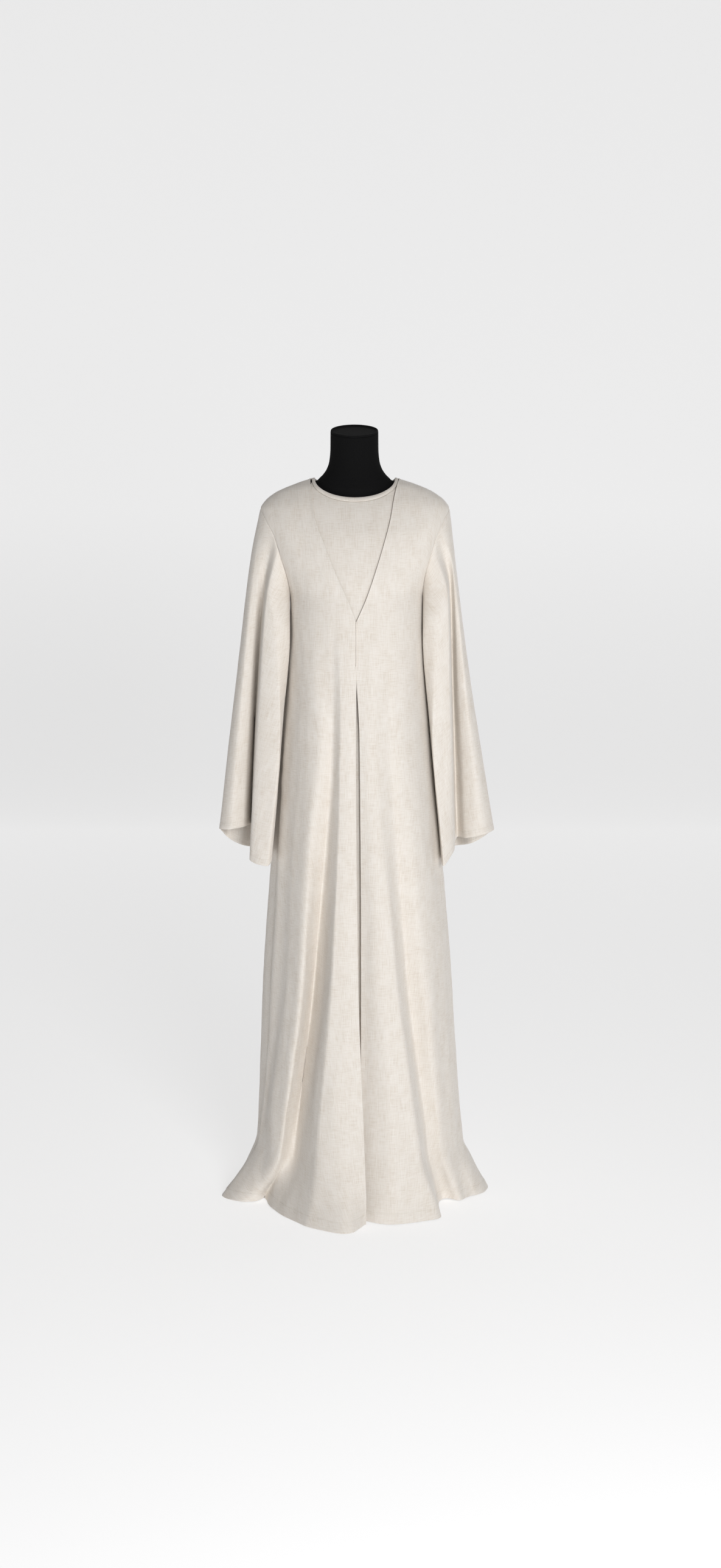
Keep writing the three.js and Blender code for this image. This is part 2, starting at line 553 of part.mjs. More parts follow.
function sleeve(side, rows, folds) {
  const armRows = rows.slice(0, armAngles.length + 1);
  const [frontEdge, backEdge] = ['front', 'back'].map((part) =>
    armRows.map((row) => (part === 'front' ? row.front[row.front.length - 1] : row.back[0])),
  );
  const angles = [...armAngles, 180, ...armAngles.slice(1).map((a) => 360 - a).reverse()];
  const armLine = [...frontEdge, ...backEdge.slice(1, -1).reverse()];
  const wrapped = [...folds, { ...folds[0], deg: 360 }];
  const at = (value) => through(wrapped.map((fold) => [fold.deg, value(fold)]));
  const hemHeight = at((fold) => fold.z);
  const places = Object.entries(sleeveLevels).map(([level, share]) => ({
    share,
    x: at((fold) => side * fold[level][0]),
    y: at((fold) => -fold[level][1]),
  }));
  const lines = angles.map((angle, i) => {
    const x = through([[0, armLine[i].x], ...places.map((p) => [p.share, p.x(angle)])]);
    const y = through([[0, armLine[i].y], ...places.map((p) => [p.share, p.y(angle)])]);
    return (share) => new THREE.Vector3(x(share), y(share), mix(armLine[i].z, hemHeight(angle), share));
  });
  const grid = sleeveShares.map((share) => lines.map((line) => line(share)));
  const count = angles.length;
  const normals = grid.map((line, j) =>
    line.map((p, i) => {
      const along = line[(i + 1) % count].clone().sub(line[(i + count - 1) % count]);
      const down = (grid[j + 1] ?? line)[i].clone().sub((grid[j - 1] ?? line)[i]);
      const n = along.cross(down).normalize().multiplyScalar(side);
      // along the top of the armhole the wall's edge is parallel to that of the body
      const under = ease(clamp((90 - Math.abs(angles[i] - 180)) / underBlend, 0, 1));
      return j ? n : bodyNormal(p).lerp(n, under).normalize();
    }),
  );
  const outer = pullEdges(grid, { top: seamGap / 2 });
  return wallBetween(outer, behind(outer, normals, clothThickness), true);
}

// The dress form.
// A closed body through rings of points, listed from the top down.
function loft(rings) {
  const count = rings[0].length;
  const centre = (ring) => ring.reduce((sum, p) => sum.add(p), new THREE.Vector3()).divideScalar(count);
  const points = [...rings.flat(), centre(rings[0]), centre(rings[rings.length - 1])];
  const triangles = [];
  const at = (j, i) => j * count + (i % count);
  const [top, bottom] = [rings.length * count, rings.length * count + 1];
  for (let i = 0; i < count; i++) {
    triangles.push(top, at(0, i + 1), at(0, i), bottom, at(rings.length - 1, i), at(rings.length - 1, i + 1));
    for (let j = 0; j < rings.length - 1; j++) {
      triangles.push(at(j, i), at(j, i + 1), at(j + 1, i + 1), at(j, i), at(j + 1, i + 1), at(j + 1, i));
    }
  }
  return solidOf(points.flatMap((p) => [p.x, p.y, p.z]), triangles);
}
const ringSteps = 36;
const ringOf = (place) => Array.from({ length: ringSteps }, (_, i) => place((360 * i) / ringSteps));

function ovalPoint(degrees, section, squareness, shift = 0) {
  const [s, c] = [Math.sin(rad(degrees)), Math.cos(rad(degrees))];
  const grow = (v) => Math.sign(v) * Math.abs(v) ** (2 / squareness);
  const depth = c >= 0 ? section.front : section.back;
  return new THREE.Vector3(shift + section.half * grow(s), -depth * grow(c), section.z);
}

function torso() {
  const upper = bodySections.filter((row) => row.z >= underarm).map((row) =>
    ringOf((degrees) => {
      const p = onBody(degrees <= 180 ? 1 : -1, degrees <= 180 ? degrees : 360 - degrees, row.z);
      return p.addScaledVector(bodyNormal(p), -formDepth);
    }),
  );
  const lower = trunkSections.map((row) => ringOf((degrees) => ovalPoint(degrees, row, roundness)));
  return joined(loft([...upper, ...lower]), loft(neckRings().reverse()));
}
function neckRings() {
  return neckSections.map((row) =>
    ringOf((degrees) => {
      const p = ovalPoint(degrees, row, 2, neckShift);
      const share = clamp((row.z - neckCut.from) / (neckSections[neckSections.length - 1].z - neckCut.from), 0, 1);
      return p.setZ(p.z + p.y * neckCut.slope * share);
    }),
  );
}
function neckCap() {
  const rings = neckRings();
  const rim = rings[rings.length - 1];
  const middle = new THREE.Vector3(neckShift, 0, neckSections[neckSections.length - 1].z);
  const at = (up) => rim.map((p) => p.clone().lerp(middle, 1 - cap.share).add(new THREE.Vector3(0, 0, up)));
  return loft([at(seamGap + cap.thickness), at(seamGap)]);
}

// Joining.
function manifoldOf(geometry) {
  const bare = new THREE.BufferGeometry();
  bare.setAttribute('position', geometry.getAttribute('position').clone());
  bare.setIndex(geometry.getIndex().clone());
  const merged = mergeVertices(bare, 1e-4);
  return new wasm.Manifold(
    new wasm.Mesh({
      numProp: 3,
      vertProperties: new Float32Array(merged.getAttribute('position').array),
      triVerts: new Uint32Array(merged.getIndex().array),
    }),
  );
}
function joined(a, b) {
  const mesh = manifoldOf(a).add(manifoldOf(b)).getMesh();
  const geometry = new THREE.BufferGeometry();
  geometry.setAttribute('position', new THREE.Float32BufferAttribute(Array.from(mesh.vertProperties), 3));
  geometry.setIndex(Array.from(mesh.triVerts));
  return geometry;
}

function standBase() {
  const { baseRadius: r, baseHeight: h, bevel: b } = stand;
  const profile = [[0, 0], [r, 0], [r, h - b], [r - b, h], [0, h]].map(([x, y]) => new THREE.Vector2(x, y));
  return new THREE.LatheGeometry(profile, 48).rotateX(Math.PI / 2);
}
function pole() {
  const length = stand.formBottom - stand.baseHeight - 2 * seamGap;
  const tube = new THREE.CylinderGeometry(stand.poleRadius, stand.poleRadius, length, 24);
  return tube.rotateX(Math.PI / 2).translate(0, 0, (stand.formBottom + stand.baseHeight) / 2);
}

// The part.
const colourOf = {
  linen: new THREE.MeshStandardMaterial({ color: colours.linen, roughness: 0.95, metalness: 0 }),
  form: new THREE.MeshStandardMaterial({ color: colours.form, roughness: 0.9, metalness: 0 }),
  metal: new THREE.MeshStandardMaterial({ color: colours.metal, roughness: 0.5, metalness: 0.8 }),
};
const abaya = new THREE.Group();
function add(name, geometry, material) {
  const mesh = new THREE.Mesh(geometry, material);
  mesh.name = name;
  abaya.add(mesh);
  return mesh;
}

add('front_right', frontPanel(right), colourOf.linen);
add('front_left', frontPanel(left), colourOf.linen);
add('back', backPanel(), colourOf.linen);
add('front_inset', inset(), colourOf.linen);
add('neck_binding', neckBinding(), colourOf.linen);
add('pleat_underlay', pleatUnderlay(), colourOf.linen);
add('sleeve_right', sleeve(-1, right, sleeveRightFolds), colourOf.linen);
add('sleeve_left', sleeve(1, left, sleeveLeftFolds), colourOf.linen);
add('form_torso', torso(), colourOf.form);
add('form_neck_cap', neckCap(), colourOf.form);
add('form_pole', pole(), colourOf.metal);
add('form_base', standBase(), colourOf.metal);

export default abaya;
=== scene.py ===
# A linen abaya on a black dress form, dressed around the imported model. Metres, +Z up, front to -Y.
import math

import bmesh
import bpy
import numpy as np
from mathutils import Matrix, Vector, noise


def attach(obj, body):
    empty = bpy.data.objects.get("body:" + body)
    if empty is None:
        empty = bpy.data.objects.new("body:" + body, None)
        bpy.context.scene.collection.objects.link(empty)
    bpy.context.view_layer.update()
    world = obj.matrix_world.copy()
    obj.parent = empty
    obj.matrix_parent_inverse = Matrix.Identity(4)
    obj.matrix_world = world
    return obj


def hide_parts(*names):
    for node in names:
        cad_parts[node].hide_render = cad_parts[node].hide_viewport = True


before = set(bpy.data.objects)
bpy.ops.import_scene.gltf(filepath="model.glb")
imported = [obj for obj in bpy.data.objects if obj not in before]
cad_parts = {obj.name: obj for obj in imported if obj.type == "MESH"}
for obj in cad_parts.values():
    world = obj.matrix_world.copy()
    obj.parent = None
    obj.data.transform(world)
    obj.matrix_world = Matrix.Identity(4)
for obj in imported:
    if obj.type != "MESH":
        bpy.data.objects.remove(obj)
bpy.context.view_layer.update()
print("frame loaded:", len(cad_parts), "nodes")

mm = 0.001
rng = np.random.default_rng(7)

# The garment's smooth base, in millimetres, as the maker's block gives it.
cloth = {
    "thickness": 1.5, "seamGap": 0.3, "roundness": 2.3, "underarm": 1215.0, "vBottom": 1172.0,
    "slitTop": 1087.0, "hemRest": 2.0,
}
neckline = {"half": 79.0, "shift": -3.0, "frontDrop": 38.0, "backDrop": 14.0, "bindingWidth": 6.0}
armhole = {"middle": 1302.0, "halfHeight": 87.0, "halfDepth": 61.0}
halfGap = cloth["seamGap"] / 2
bindingOut = neckline["bindingWidth"] + cloth["seamGap"]

# z, half width, depth of the front, depth of the back, shift of the middle
bodySections = np.array([
    (1450, 79, 12, 16, -3), (1447, 90, 25, 34, -3), (1440, 112, 39, 52, -3), (1430, 138, 51, 64, -3),
    (1418, 161, 60, 73, -3), (1405, 177, 70, 80, -3), (1388, 187, 81, 87, -3), (1370, 188, 91, 92, -3),
    (1337, 179, 107, 98, -2), (1295, 162, 120, 101, -2), (1250, 141, 129, 102, -1),
    (1215, 131, 132, 101, 0), (1172, 132, 136, 100, 0), (1087, 137, 143, 102, 0), (950, 148, 152, 109, 0),
    (500, 189, 186, 150, 0), (120, 212, 214, 200, 3), (60, 236, 232, 222, 3), (0, 268, 262, 255, 0),
], float)

# z, then how far the edge of the right and of the left front lies from the middle
vEdge = np.array([
    (1447, 91, 84), (1436, 90, 80), (1407, 87, 73), (1372, 81, 67), (1326, 64, 55), (1267, 41, 37),
    (1215, 17.5, 19), (1172, 0, 0),
], float)

# Fold lines of each half of the skirt, from the middle of the front to the middle of the back:
# name, degrees at the underarm, softness, then (outwards, forwards) at waist, knee, ankle and hem.
foldHeights = [950.0, 500.0, 120.0, 0.0]
foldsRight = [
    ("slit", 0, 0.9, (1, 152), (-3, 190), (-17, 222), (-20, 212)),
    ("panel", 6, 0.9, (14, 154), (22, 196), (30, 234), (14, 284)),
    ("ridge", 13, 0.3, (31, 152), (48, 190), (81, 210), (97, 226)),
    ("trough", 18, 0.7, (44, 135), (78, 104), (122, 94), (150, 152)),
    ("bank", 25, 0.9, (57, 137), (86, 114), (132, 94), (177, 86)),
    ("notch", 33, 0.9, (70, 138), (94, 136), (142, 108), (187, 22)),
    ("lobe", 42, 0.9, (86, 130), (104, 160), (153, 123), (200, 60)),
    ("crease", 54, 0.6, (102, 114), (130, 130), (181, 68), (232, 64)),
    ("hollow", 70, 0.9, (124, 80), (148, 82), (191, 28), (274, 32)),
    ("seam", 90, 0, (143, 36), (170, 48), (199, 2), (270, -18)),
    ("side", 104, 0.9, (151, -18), (192, -16), (206, -44), (248, -78)),
    ("dip", 118, 0.9, (134, -62), (158, -70), (172, -92), (214, -128)),
    ("swell", 132, 0.8, (112, -92), (146, -128), (174, -168), (240, -204)),
    ("valley", 146, 0.8, (76, -100), (92, -112), (108, -132), (130, -168)),
    ("roll", 160, 0.8, (46, -116), (60, -160), (80, -206), (100, -266)),
    ("gutter", 171, 0.9, (20, -110), (24, -136), (28, -160), (34, -196)),
    ("middle", 180, 0.9, (0, -108), (0, -136), (0, -160), (0, -194)),
]
foldsLeft = [
    ("slit", 0, 0.9, (6, 151), (9, 174), (8, 184), (4, 180)),
    ("panel", 7, 0.9, (20, 153), (42, 188), (66, 206), (62, 222)),
    ("ridge", 16, 0.3, (38, 150), (78, 182), (129, 184), (168, 172)),
    ("trough", 28, 0.7, (64, 134), (93, 130), (137, 100), (164, 66)),
    ("bank", 36, 0.9, (78, 132), (108, 132), (152, 92), (180, 36)),
    ("lobe", 47, 0.9, (98, 120), (134, 138), (172, 98), (208, 60)),
    ("crease", 60, 0.9, (118, 94), (158, 104), (194, 60), (226, 24)),
    ("hollow", 75, 0.9, (135, 60), (176, 62), (209, 28), (254, 10)),
    ("seam", 90, 0, (145, 24), (188, 18), (217, -10), (272, -40)),
    ("side", 105, 0.9, (145, -28), (184, -32), (206, -62), (250, -100)),
    ("dip", 120, 0.9, (126, -66), (146, -82), (160, -108), (190, -142)),
    ("swell", 134, 0.8, (104, -96), (132, -140), (158, -182), (206, -226)),
    ("valley", 148, 0.8, (72, -100), (82, -118), (96, -138), (112, -172)),
    ("roll", 162, 0.8, (44, -114), (52, -156), (64, -200), (76, -250)),
    ("gutter", 172, 0.9, (18, -109), (20, -137), (22, -163), (26, -198)),
    ("middle", 180, 0.9, (0, -108), (0, -136), (0, -160), (0, -194)),
]


def ease(t):
    return t * t * (3 - 2 * t)


def smoothStep(low, high, x):
    return ease(np.clip((x - low) / (high - low), 0, 1))


# A smooth curve through points that never overshoots them; values may have several columns.
def curveThrough(at, values):
    order = np.argsort(at)
    xs, ys = np.asarray(at, float)[order], np.asarray(values, float)[order]
    ys = ys.reshape(len(xs), -1)
    h = np.diff(xs)[:, None]
    step = np.diff(ys, axis=0) / h
    slope = np.zeros_like(ys)
    slope[0], slope[-1] = step[0], step[-1]
    a, b = step[:-1], step[1:]
    total = np.where(a + b == 0, 1, a + b)
    slope[1:-1] = np.where(a * b > 0, 2 * a * b / total, 0)

    def curve(x):
        x = np.clip(np.asarray(x, float), xs[0], xs[-1])
        i = np.clip(np.searchsorted(xs, x, side="right") - 1, 0, len(xs) - 2)
        width = h[i, 0][..., None]
        t = ((x - xs[i]) / h[i, 0])[..., None]
        s = ease(t)
        out = ys[i] * (1 - s) + ys[i + 1] * s
        out += width * t * (1 - t) * ((1 - t) * slope[i] - t * slope[i + 1])
        return out[..., 0] if ys.shape[1] == 1 else out

    return curve


halfAt, frontAt, backAt, shiftAt = (curveThrough(bodySections[:, 0], c) for c in bodySections.T[1:])
power = 2 / cloth["roundness"]
shoulderRange = (1370.0, 1450.0)


def onBody(side, degrees, z):
    a = np.radians(degrees)
    s, c = np.maximum(np.sin(a), 0), np.cos(a)
    depth = np.where(c >= 0, -frontAt(z), backAt(z))
    x = shiftAt(z) + side * halfAt(z) * s**power
    return np.stack(np.broadcast_arrays(x, depth * np.abs(c) ** power, z), -1).astype(float)


def degreesAtX(side, x, z):
    share = np.clip(side * (x - shiftAt(z)) / halfAt(z), 0, 1)
    return np.degrees(np.arcsin(share ** (1 / power)))


def degreesAtDepth(y, z):
    depth = np.where(y <= 0, frontAt(z), backAt(z))
    angle = np.degrees(np.arccos(np.clip(np.abs(y) / depth, 0, 1) ** (1 / power)))
    return np.where(y <= 0, angle, 180 - angle)


def bodyNormal(p, h=0.4):
    def fullness(q):
        depth = np.where(q[..., 1] < 0, frontAt(q[..., 2]), backAt(q[..., 2]))
        across = np.abs(q[..., 0] - shiftAt(q[..., 2])) / halfAt(q[..., 2])
        return across ** cloth["roundness"] + (np.abs(q[..., 1]) / depth) ** cloth["roundness"]

    n = np.stack([fullness(p + h * e) - fullness(p - h * e) for e in np.eye(3)], -1)
    return n / np.linalg.norm(n, axis=-1, keepdims=True)


# The height at which the shoulder is this wide, found by halving.
def shoulderHeight(half):
    low, high = (np.full_like(np.asarray(half, float), z) for z in shoulderRange)
    for _ in range(40):
        middle = (low + high) / 2
        wide = halfAt(middle) > half
        low, high = np.where(wide, middle, low), np.where(wide, high, middle)
    return (low + high) / 2


def onArmhole(side, degrees):
    z = armhole["middle"] + armhole["halfHeight"] * np.cos(np.radians(degrees))
    y = -armhole["halfDepth"] * np.sin(np.radians(degrees))
    return onBody(side, degreesAtDepth(y, z), z)


def onNeckline(side, degrees, outwards=0.0):
    a = np.radians(degrees)
    s, c = np.abs(np.sin(a)), np.cos(a)
    drop = np.where(c >= 0, neckline["frontDrop"], neckline["backDrop"])
    z = shoulderHeight(neckline["half"] + outwards) - (drop + outwards) * np.abs(c)
    x = neckline["shift"] + side * (neckline["half"] + outwards) * s
    around = degreesAtX(side, x, z)
    return onBody(side, np.where(c >= 0, around, 180 - around), z)


def bindingReach(side, z):
    half, drop = neckline["half"] + bindingOut, neckline["frontDrop"] + bindingOut
    share = np.clip((shoulderHeight(half) - z) / drop, 0, 1)
    return side * neckline["shift"] + half * np.sqrt(1 - share**2)


# The body of the garment: one grid for each half, from the shoulder to the hem.
bodyGrid = {
    "bends": 7, "runs": (0.2, 0.5, 0.8), "edgeRuns": (0.012, 0.03, 0.06, 0.12, 0.25, 0.45, 0.7),
    "upperRows": 46, "rowCrowding": 1.15, "edgeCrowding": 1.35, "skirtStep": 8.0, "hemRows": 34,
    "flare": 150.0, "neckShare": 7 / 15,
}


# Columns as weights of the fold lines: each inner fold is a bend as wide as its softness.
def columnWeights(folds):
    count = len(folds)
    rows = []

    def add(pairs):
        w = np.zeros(count)
        for k, share in pairs:
            w[k] += share
        rows.append(w)

    def bendEnds(k):
        return folds[k][2] / 2 if 0 < k < count - 1 else 0.0

    for k in range(count):
        share = bendEnds(k)
        if share > 0:
            for t in np.linspace(0, 1, bodyGrid["bends"]):
                before, after = (1 - t) ** 2 * share, t**2 * share
                add([(k - 1, before), (k, 1 - before - after), (k + 1, after)])
        else:
            add([(k, 1)])
        if k < count - 1:
            start, end = bendEnds(k), 1 - bendEnds(k + 1)
            runs = bodyGrid["runs"]
            if start == 0:
                runs = bodyGrid["edgeRuns"]
            elif bendEnds(k + 1) == 0:
                runs = [1 - r for r in reversed(bodyGrid["edgeRuns"])]
            for r in runs:
                t = start + (end - start) * r
                add([(k, 1 - t), (k + 1, t)])
    return np.array(rows)


def vHalf(side, z):
    line = curveThrough(vEdge[:, 0], vEdge[:, 1 if side < 0 else 2])
    return np.maximum(line(z), bindingReach(side, z))


def vDegrees(side, z):
    return np.where(z <= cloth["vBottom"], 0, degreesAtX(side, side * vHalf(side, z), z))


# (degrees, height) inside a patch with four given edges
def patch(top, bottom, start, end, s, r):
    across = (1 - r) * top(s) + r * bottom(s)
    down = (1 - s) * start(r) + s * end(r)
    one = np.ones_like(s)
    topCorners = (1 - s) * top(0 * one) + s * top(one)
    bottomCorners = (1 - s) * bottom(0 * one) + s * bottom(one)
    return across + down - ((1 - r) * topCorners + r * bottomCorners)


def halfBody(side, folds):
    weights = columnWeights(folds)
    columnDegrees = weights @ np.array([f[1] for f in folds], float)
    place = weights @ np.arange(len(folds))
    seamKey = [f[0] for f in folds].index("seam")
    seam = int(np.argmin(np.abs(place - seamKey)))
    v = cloth["vBottom"]

    heights = np.array([v] + foldHeights)
    moves = []
    for fold in folds:
        wanted = np.array([(side * p[0], -p[1]) for p in fold[3:]], float)
        base = onBody(side, fold[1], np.array(foldHeights))[:, :2]
        move = np.vstack([(0, 0), wanted - base])
        if fold[0] == "slit":
            # it stays shut down to its top
            across = curveThrough([v, cloth["slitTop"]] + foldHeights, [0, 0, *move[1:, 0]])
            forwards = curveThrough(heights, move[:, 1])
            moves.append(lambda z, across=across, forwards=forwards: np.array([across(z), forwards(z)]))
        else:
            moves.append(curveThrough(heights, move))

    tip = onArmhole(side, np.array(0.0))
    tipHalf = side * (tip[0] - shiftAt(tip[2]))
    corner = onNeckline(side, np.array(90.0), bindingOut)
    neckHalf = side * (corner[0] - shiftAt(corner[2]))
    backNeck = onNeckline(side, np.array(180.0), bindingOut)[2]
    neckShare, crowding = bodyGrid["neckShare"], bodyGrid["edgeCrowding"]

    def pair(d, z):
        return np.stack(np.broadcast_arrays(np.asarray(d, float), np.asarray(z, float)))

    def frontTop(s):
        return pair(90, shoulderHeight(neckHalf + (tipHalf - neckHalf) * s))

    def frontStart(r):
        z = shoulderHeight(neckHalf) + (cloth["underarm"] - shoulderHeight(neckHalf)) * r**crowding
        return pair(np.where(r == 0, 90, vDegrees(side, z)), z)

    def frontBottom(s):
        start = vDegrees(side, np.array(cloth["underarm"]))
        return pair(start + (90 - start) * s, cloth["underarm"])

    def armEnd(angle):
        p = onArmhole(side, angle)
        return pair(degreesAtDepth(p[..., 1], p[..., 2]), p[..., 2])

    def backTop(s):
        shoulder = frontTop(np.clip((s - neckShare) / (1 - neckShare), 0, 1))
        p = onNeckline(side, 180 - 90 * np.clip(s / neckShare, 0, 1), bindingOut)
        neck = pair(degreesAtDepth(np.maximum(p[..., 1], 1e-6), p[..., 2]), p[..., 2])
        return np.where(s >= neckShare, shoulder, neck)

    def backStart(r):
        return pair(180, backNeck + (cloth["underarm"] - backNeck) * r**crowding)

    def backBottom(s):
        return pair(180 - 90 * s, cloth["underarm"])

    # above the underarm the columns spread evenly towards the top
    last = len(folds) - 1
    frontPlace, backPlace = place[: seam + 1] / seamKey, (last - place[seam:]) / (last - seamKey)
    upper = []
    for r in np.linspace(0, 1, bodyGrid["upperRows"], endpoint=False) ** bodyGrid["rowCrowding"]:
        s = frontPlace * (1 - ease(r)) + columnDegrees[: seam + 1] / 90 * ease(r)
        edges = frontTop, frontBottom, frontStart, lambda q: armEnd(180 * q)
        d, z = patch(*edges, s, np.full_like(s, r))
        front = onBody(side, np.clip(d, 0, 90), z)
        s = backPlace * (1 - ease(r)) + (180 - columnDegrees[seam:]) / 90 * ease(r)
        edges = backTop, backBottom, backStart, lambda q: armEnd(360 - 180 * q)
        d, z = patch(*edges, s, np.full_like(s, r))
        upper.append((front, onBody(side, np.clip(d, 90, 180), z)))

    # below it the folds grow from nothing to their full depth at the hem
    flare = bodyGrid["flare"]
    steps = int((cloth["underarm"] - flare) / bodyGrid["skirtStep"])
    tall = np.linspace(cloth["underarm"], flare, steps)
    low = flare * (1 - np.linspace(0, 1, bodyGrid["hemRows"] + 1)[1:]) ** crowding + cloth["hemRest"]
    zs = np.sort(np.unique(np.concatenate([tall, low, [v, cloth["slitTop"]]])))[::-1]
    lower = []
    for z in zs:
        start = float(vDegrees(side, np.array(z)))
        ring = onBody(side, start + columnDegrees * (1 - start / 180), z)
        if z < v:
            ring[:, :2] += weights @ np.array([m(z) for m in moves])
        lower.append(ring)
    lower = np.array(lower)
    return {
        "front": np.concatenate([np.array([u[0] for u in upper]), lower[:, : seam + 1]]),
        "back": np.concatenate([np.array([u[1] for u in upper]), lower[:, seam:]]),
        "z": np.concatenate([np.full(len(upper), np.nan), zs]),
        "side": side,
    }


right = halfBody(-1, foldsRight)
left = halfBody(1, foldsLeft)
print("body grids:", right["front"].shape, left["front"].shape)


# Sleeves: a ring of fold lines from the armhole to the slanted hem, as
# name, degrees on the armhole, then (outwards, forwards) at crown, half way and hem, hem height
sleeveShares = [0.15, 0.5, 1.0]
sleeveFolds = {
    -1: [
        ("outer", 0, (209, 0), (237, 0), (276, 2), 753),
        ("flat", 32, (200, 34), (222, 34), (250, 34), 756),
        ("lip", 50, (191, 38), (208, 28), (224, 18), 759),
        ("trough", 68, (181, 32), (199, -8), (212, -26), 760),
        ("ridge", 86, (175, 72), (192, 68), (212, 68), 702),
        ("front", 122, (156, 78), (150, 84), (176, 88), 690),
        ("inner", 150, (130, 58), (146, 58), (168, 66), 700),
        ("under", 180, (145, -2), (155, -4), (182, 0), 706),
        ("tuck", 215, (144, -54), (146, -70), (172, -84), 704),
        ("back", 255, (170, -81), (184, -92), (202, -106), 700),
        ("fold", 292, (194, -64), (214, -52), (236, -62), 712),
        ("rear", 328, (205, -38), (232, -48), (264, -52), 730),
    ],
    1: [
        ("outer", 0, (195, 0), (224, 0), (277, 0), 751),
        ("flat", 32, (192, 34), (212, 36), (248, 34), 744),
        ("lip", 50, (190, 40), (201, 28), (218, 18), 736),
        ("trough", 68, (184, 28), (192, -6), (203, -22), 733),
        ("ridge", 86, (178, 70), (184, 66), (192, 64), 716),
        ("front", 122, (156, 76), (150, 78), (172, 86), 690),
        ("inner", 150, (130, 58), (145, 57), (168, 64), 694),
        ("under", 180, (142, -2), (152, -4), (180, 0), 702),
        ("tuck", 215, (141, -54), (144, -70), (170, -84), 702),
        ("back", 255, (166, -81), (180, -90), (204, -102), 704),
        ("fold", 292, (186, -62), (204, -52), (236, -58), 716),
        ("rear", 328, (192, -38), (220, -46), (264, -50), 734),
    ],
}
# the grid starts at the underarm, where the cloth's own seam lies
sleeveGrid = {
    "around": 144, "rows": 150, "startAt": 184, "topShares": [0, 0.004, 0.01, 0.018], "nextShare": 0.027,
}


def sleeveRows(side):
    folds, p = sleeveFolds[side], sleeveGrid
    angles = (np.linspace(0, 360, p["around"], endpoint=False) + p["startAt"]) % 360
    at = np.array([f[1] for f in folds], float)
    ringAt = np.concatenate([at - 360, at, at + 360])

    def around(values):
        return curveThrough(ringAt, np.array(values * 3, float))(angles)

    levels = [around([(side * f[2 + k][0], -f[2 + k][1]) for f in folds]) for k in range(3)]
    hem = around([(f[5],) for f in folds])
    top = onArmhole(side, angles)
    evenRows = p["rows"] - len(p["topShares"])
    shares = np.concatenate([p["topShares"], np.linspace(p["nextShare"], 1, evenRows)])
    grid = np.zeros((len(shares), len(angles), 3))
    for i in range(len(angles)):
        path = curveThrough([0] + sleeveShares, [top[i, :2]] + [level[i] for level in levels])
        grid[:, i, :2] = path(shares)
        grid[:, i, 2] = top[i, 2] * (1 - shares) + hem[i] * shares
    return grid


def unit(v):
    return v / np.maximum(np.linalg.norm(v, axis=-1, keepdims=True), 1e-9)


def gridNormals(grid, closed=False):
    along = np.roll(grid, -1, 1) - np.roll(grid, 1, 1) if closed else np.gradient(grid, axis=1)
    n = unit(np.cross(along, np.gradient(grid, axis=0)))
    middle = grid.mean(axis=1, keepdims=True) if closed else np.array([0, 0, 1.0]) * grid
    outwards = np.einsum("ijk,ijk->", n, grid - middle)
    return n * np.sign(outwards)


def runLengths(grid, axis):
    steps = np.linalg.norm(np.diff(grid, axis=axis), axis=-1)
    start = np.zeros_like(np.take(steps, [0], axis=axis))
    return np.concatenate([start, np.cumsum(steps, axis=axis)], axis=axis)


# How far each point lies from an edge of its grid, measured along the cloth.
def fromEdge(grid, edge):
    axis = 0 if edge in ("top", "bottom") else 1
    run = runLengths(grid, axis)
    if edge in ("top", "start"):
        return run
    return np.take(run, [-1], axis=axis) - run


# Noise that is the same on both sides of a seam.
def softNoise(grid, across, up, seed):
    flat = grid.reshape(-1, 3)
    offset = Vector((seed * 7.3, seed * 3.1, seed * 5.7))
    values = [noise.noise(Vector((x / across, y / across, z / up)) + offset) for x, y, z in flat]
    return np.array(values).reshape(grid.shape[:2])


def makeMesh(name, verts, faces, threads=None):
    mesh = bpy.data.meshes.new(name)
    mesh.from_pydata((np.asarray(verts) * mm).tolist(), [], [list(map(int, f)) for f in faces])
    if threads is not None:
        layer = mesh.attributes.new("threads", "FLOAT_VECTOR", "POINT")
        layer.data.foreach_set("vector", np.ascontiguousarray(threads, dtype=np.float32).ravel())
    mesh.validate()
    mesh.polygons.foreach_set("use_smooth", [True] * len(mesh.polygons))
    mesh.update()
    piece = bpy.data.objects.new(name, mesh)
    bpy.context.scene.collection.objects.link(piece)
    return piece


def fixNormals(piece):
    bm = bmesh.new()
    bm.from_mesh(piece.data)
    bmesh.ops.recalc_face_normals(bm, faces=bm.faces)
    bm.to_mesh(piece.data)
    bm.free()


# How far the middle of each rim stands out, and how low the cloth may come, in mm.
rim = {"top": 0.1, "bottom": 0.5, "start": 0.1, "end": 0.1}
lowest = 0.15


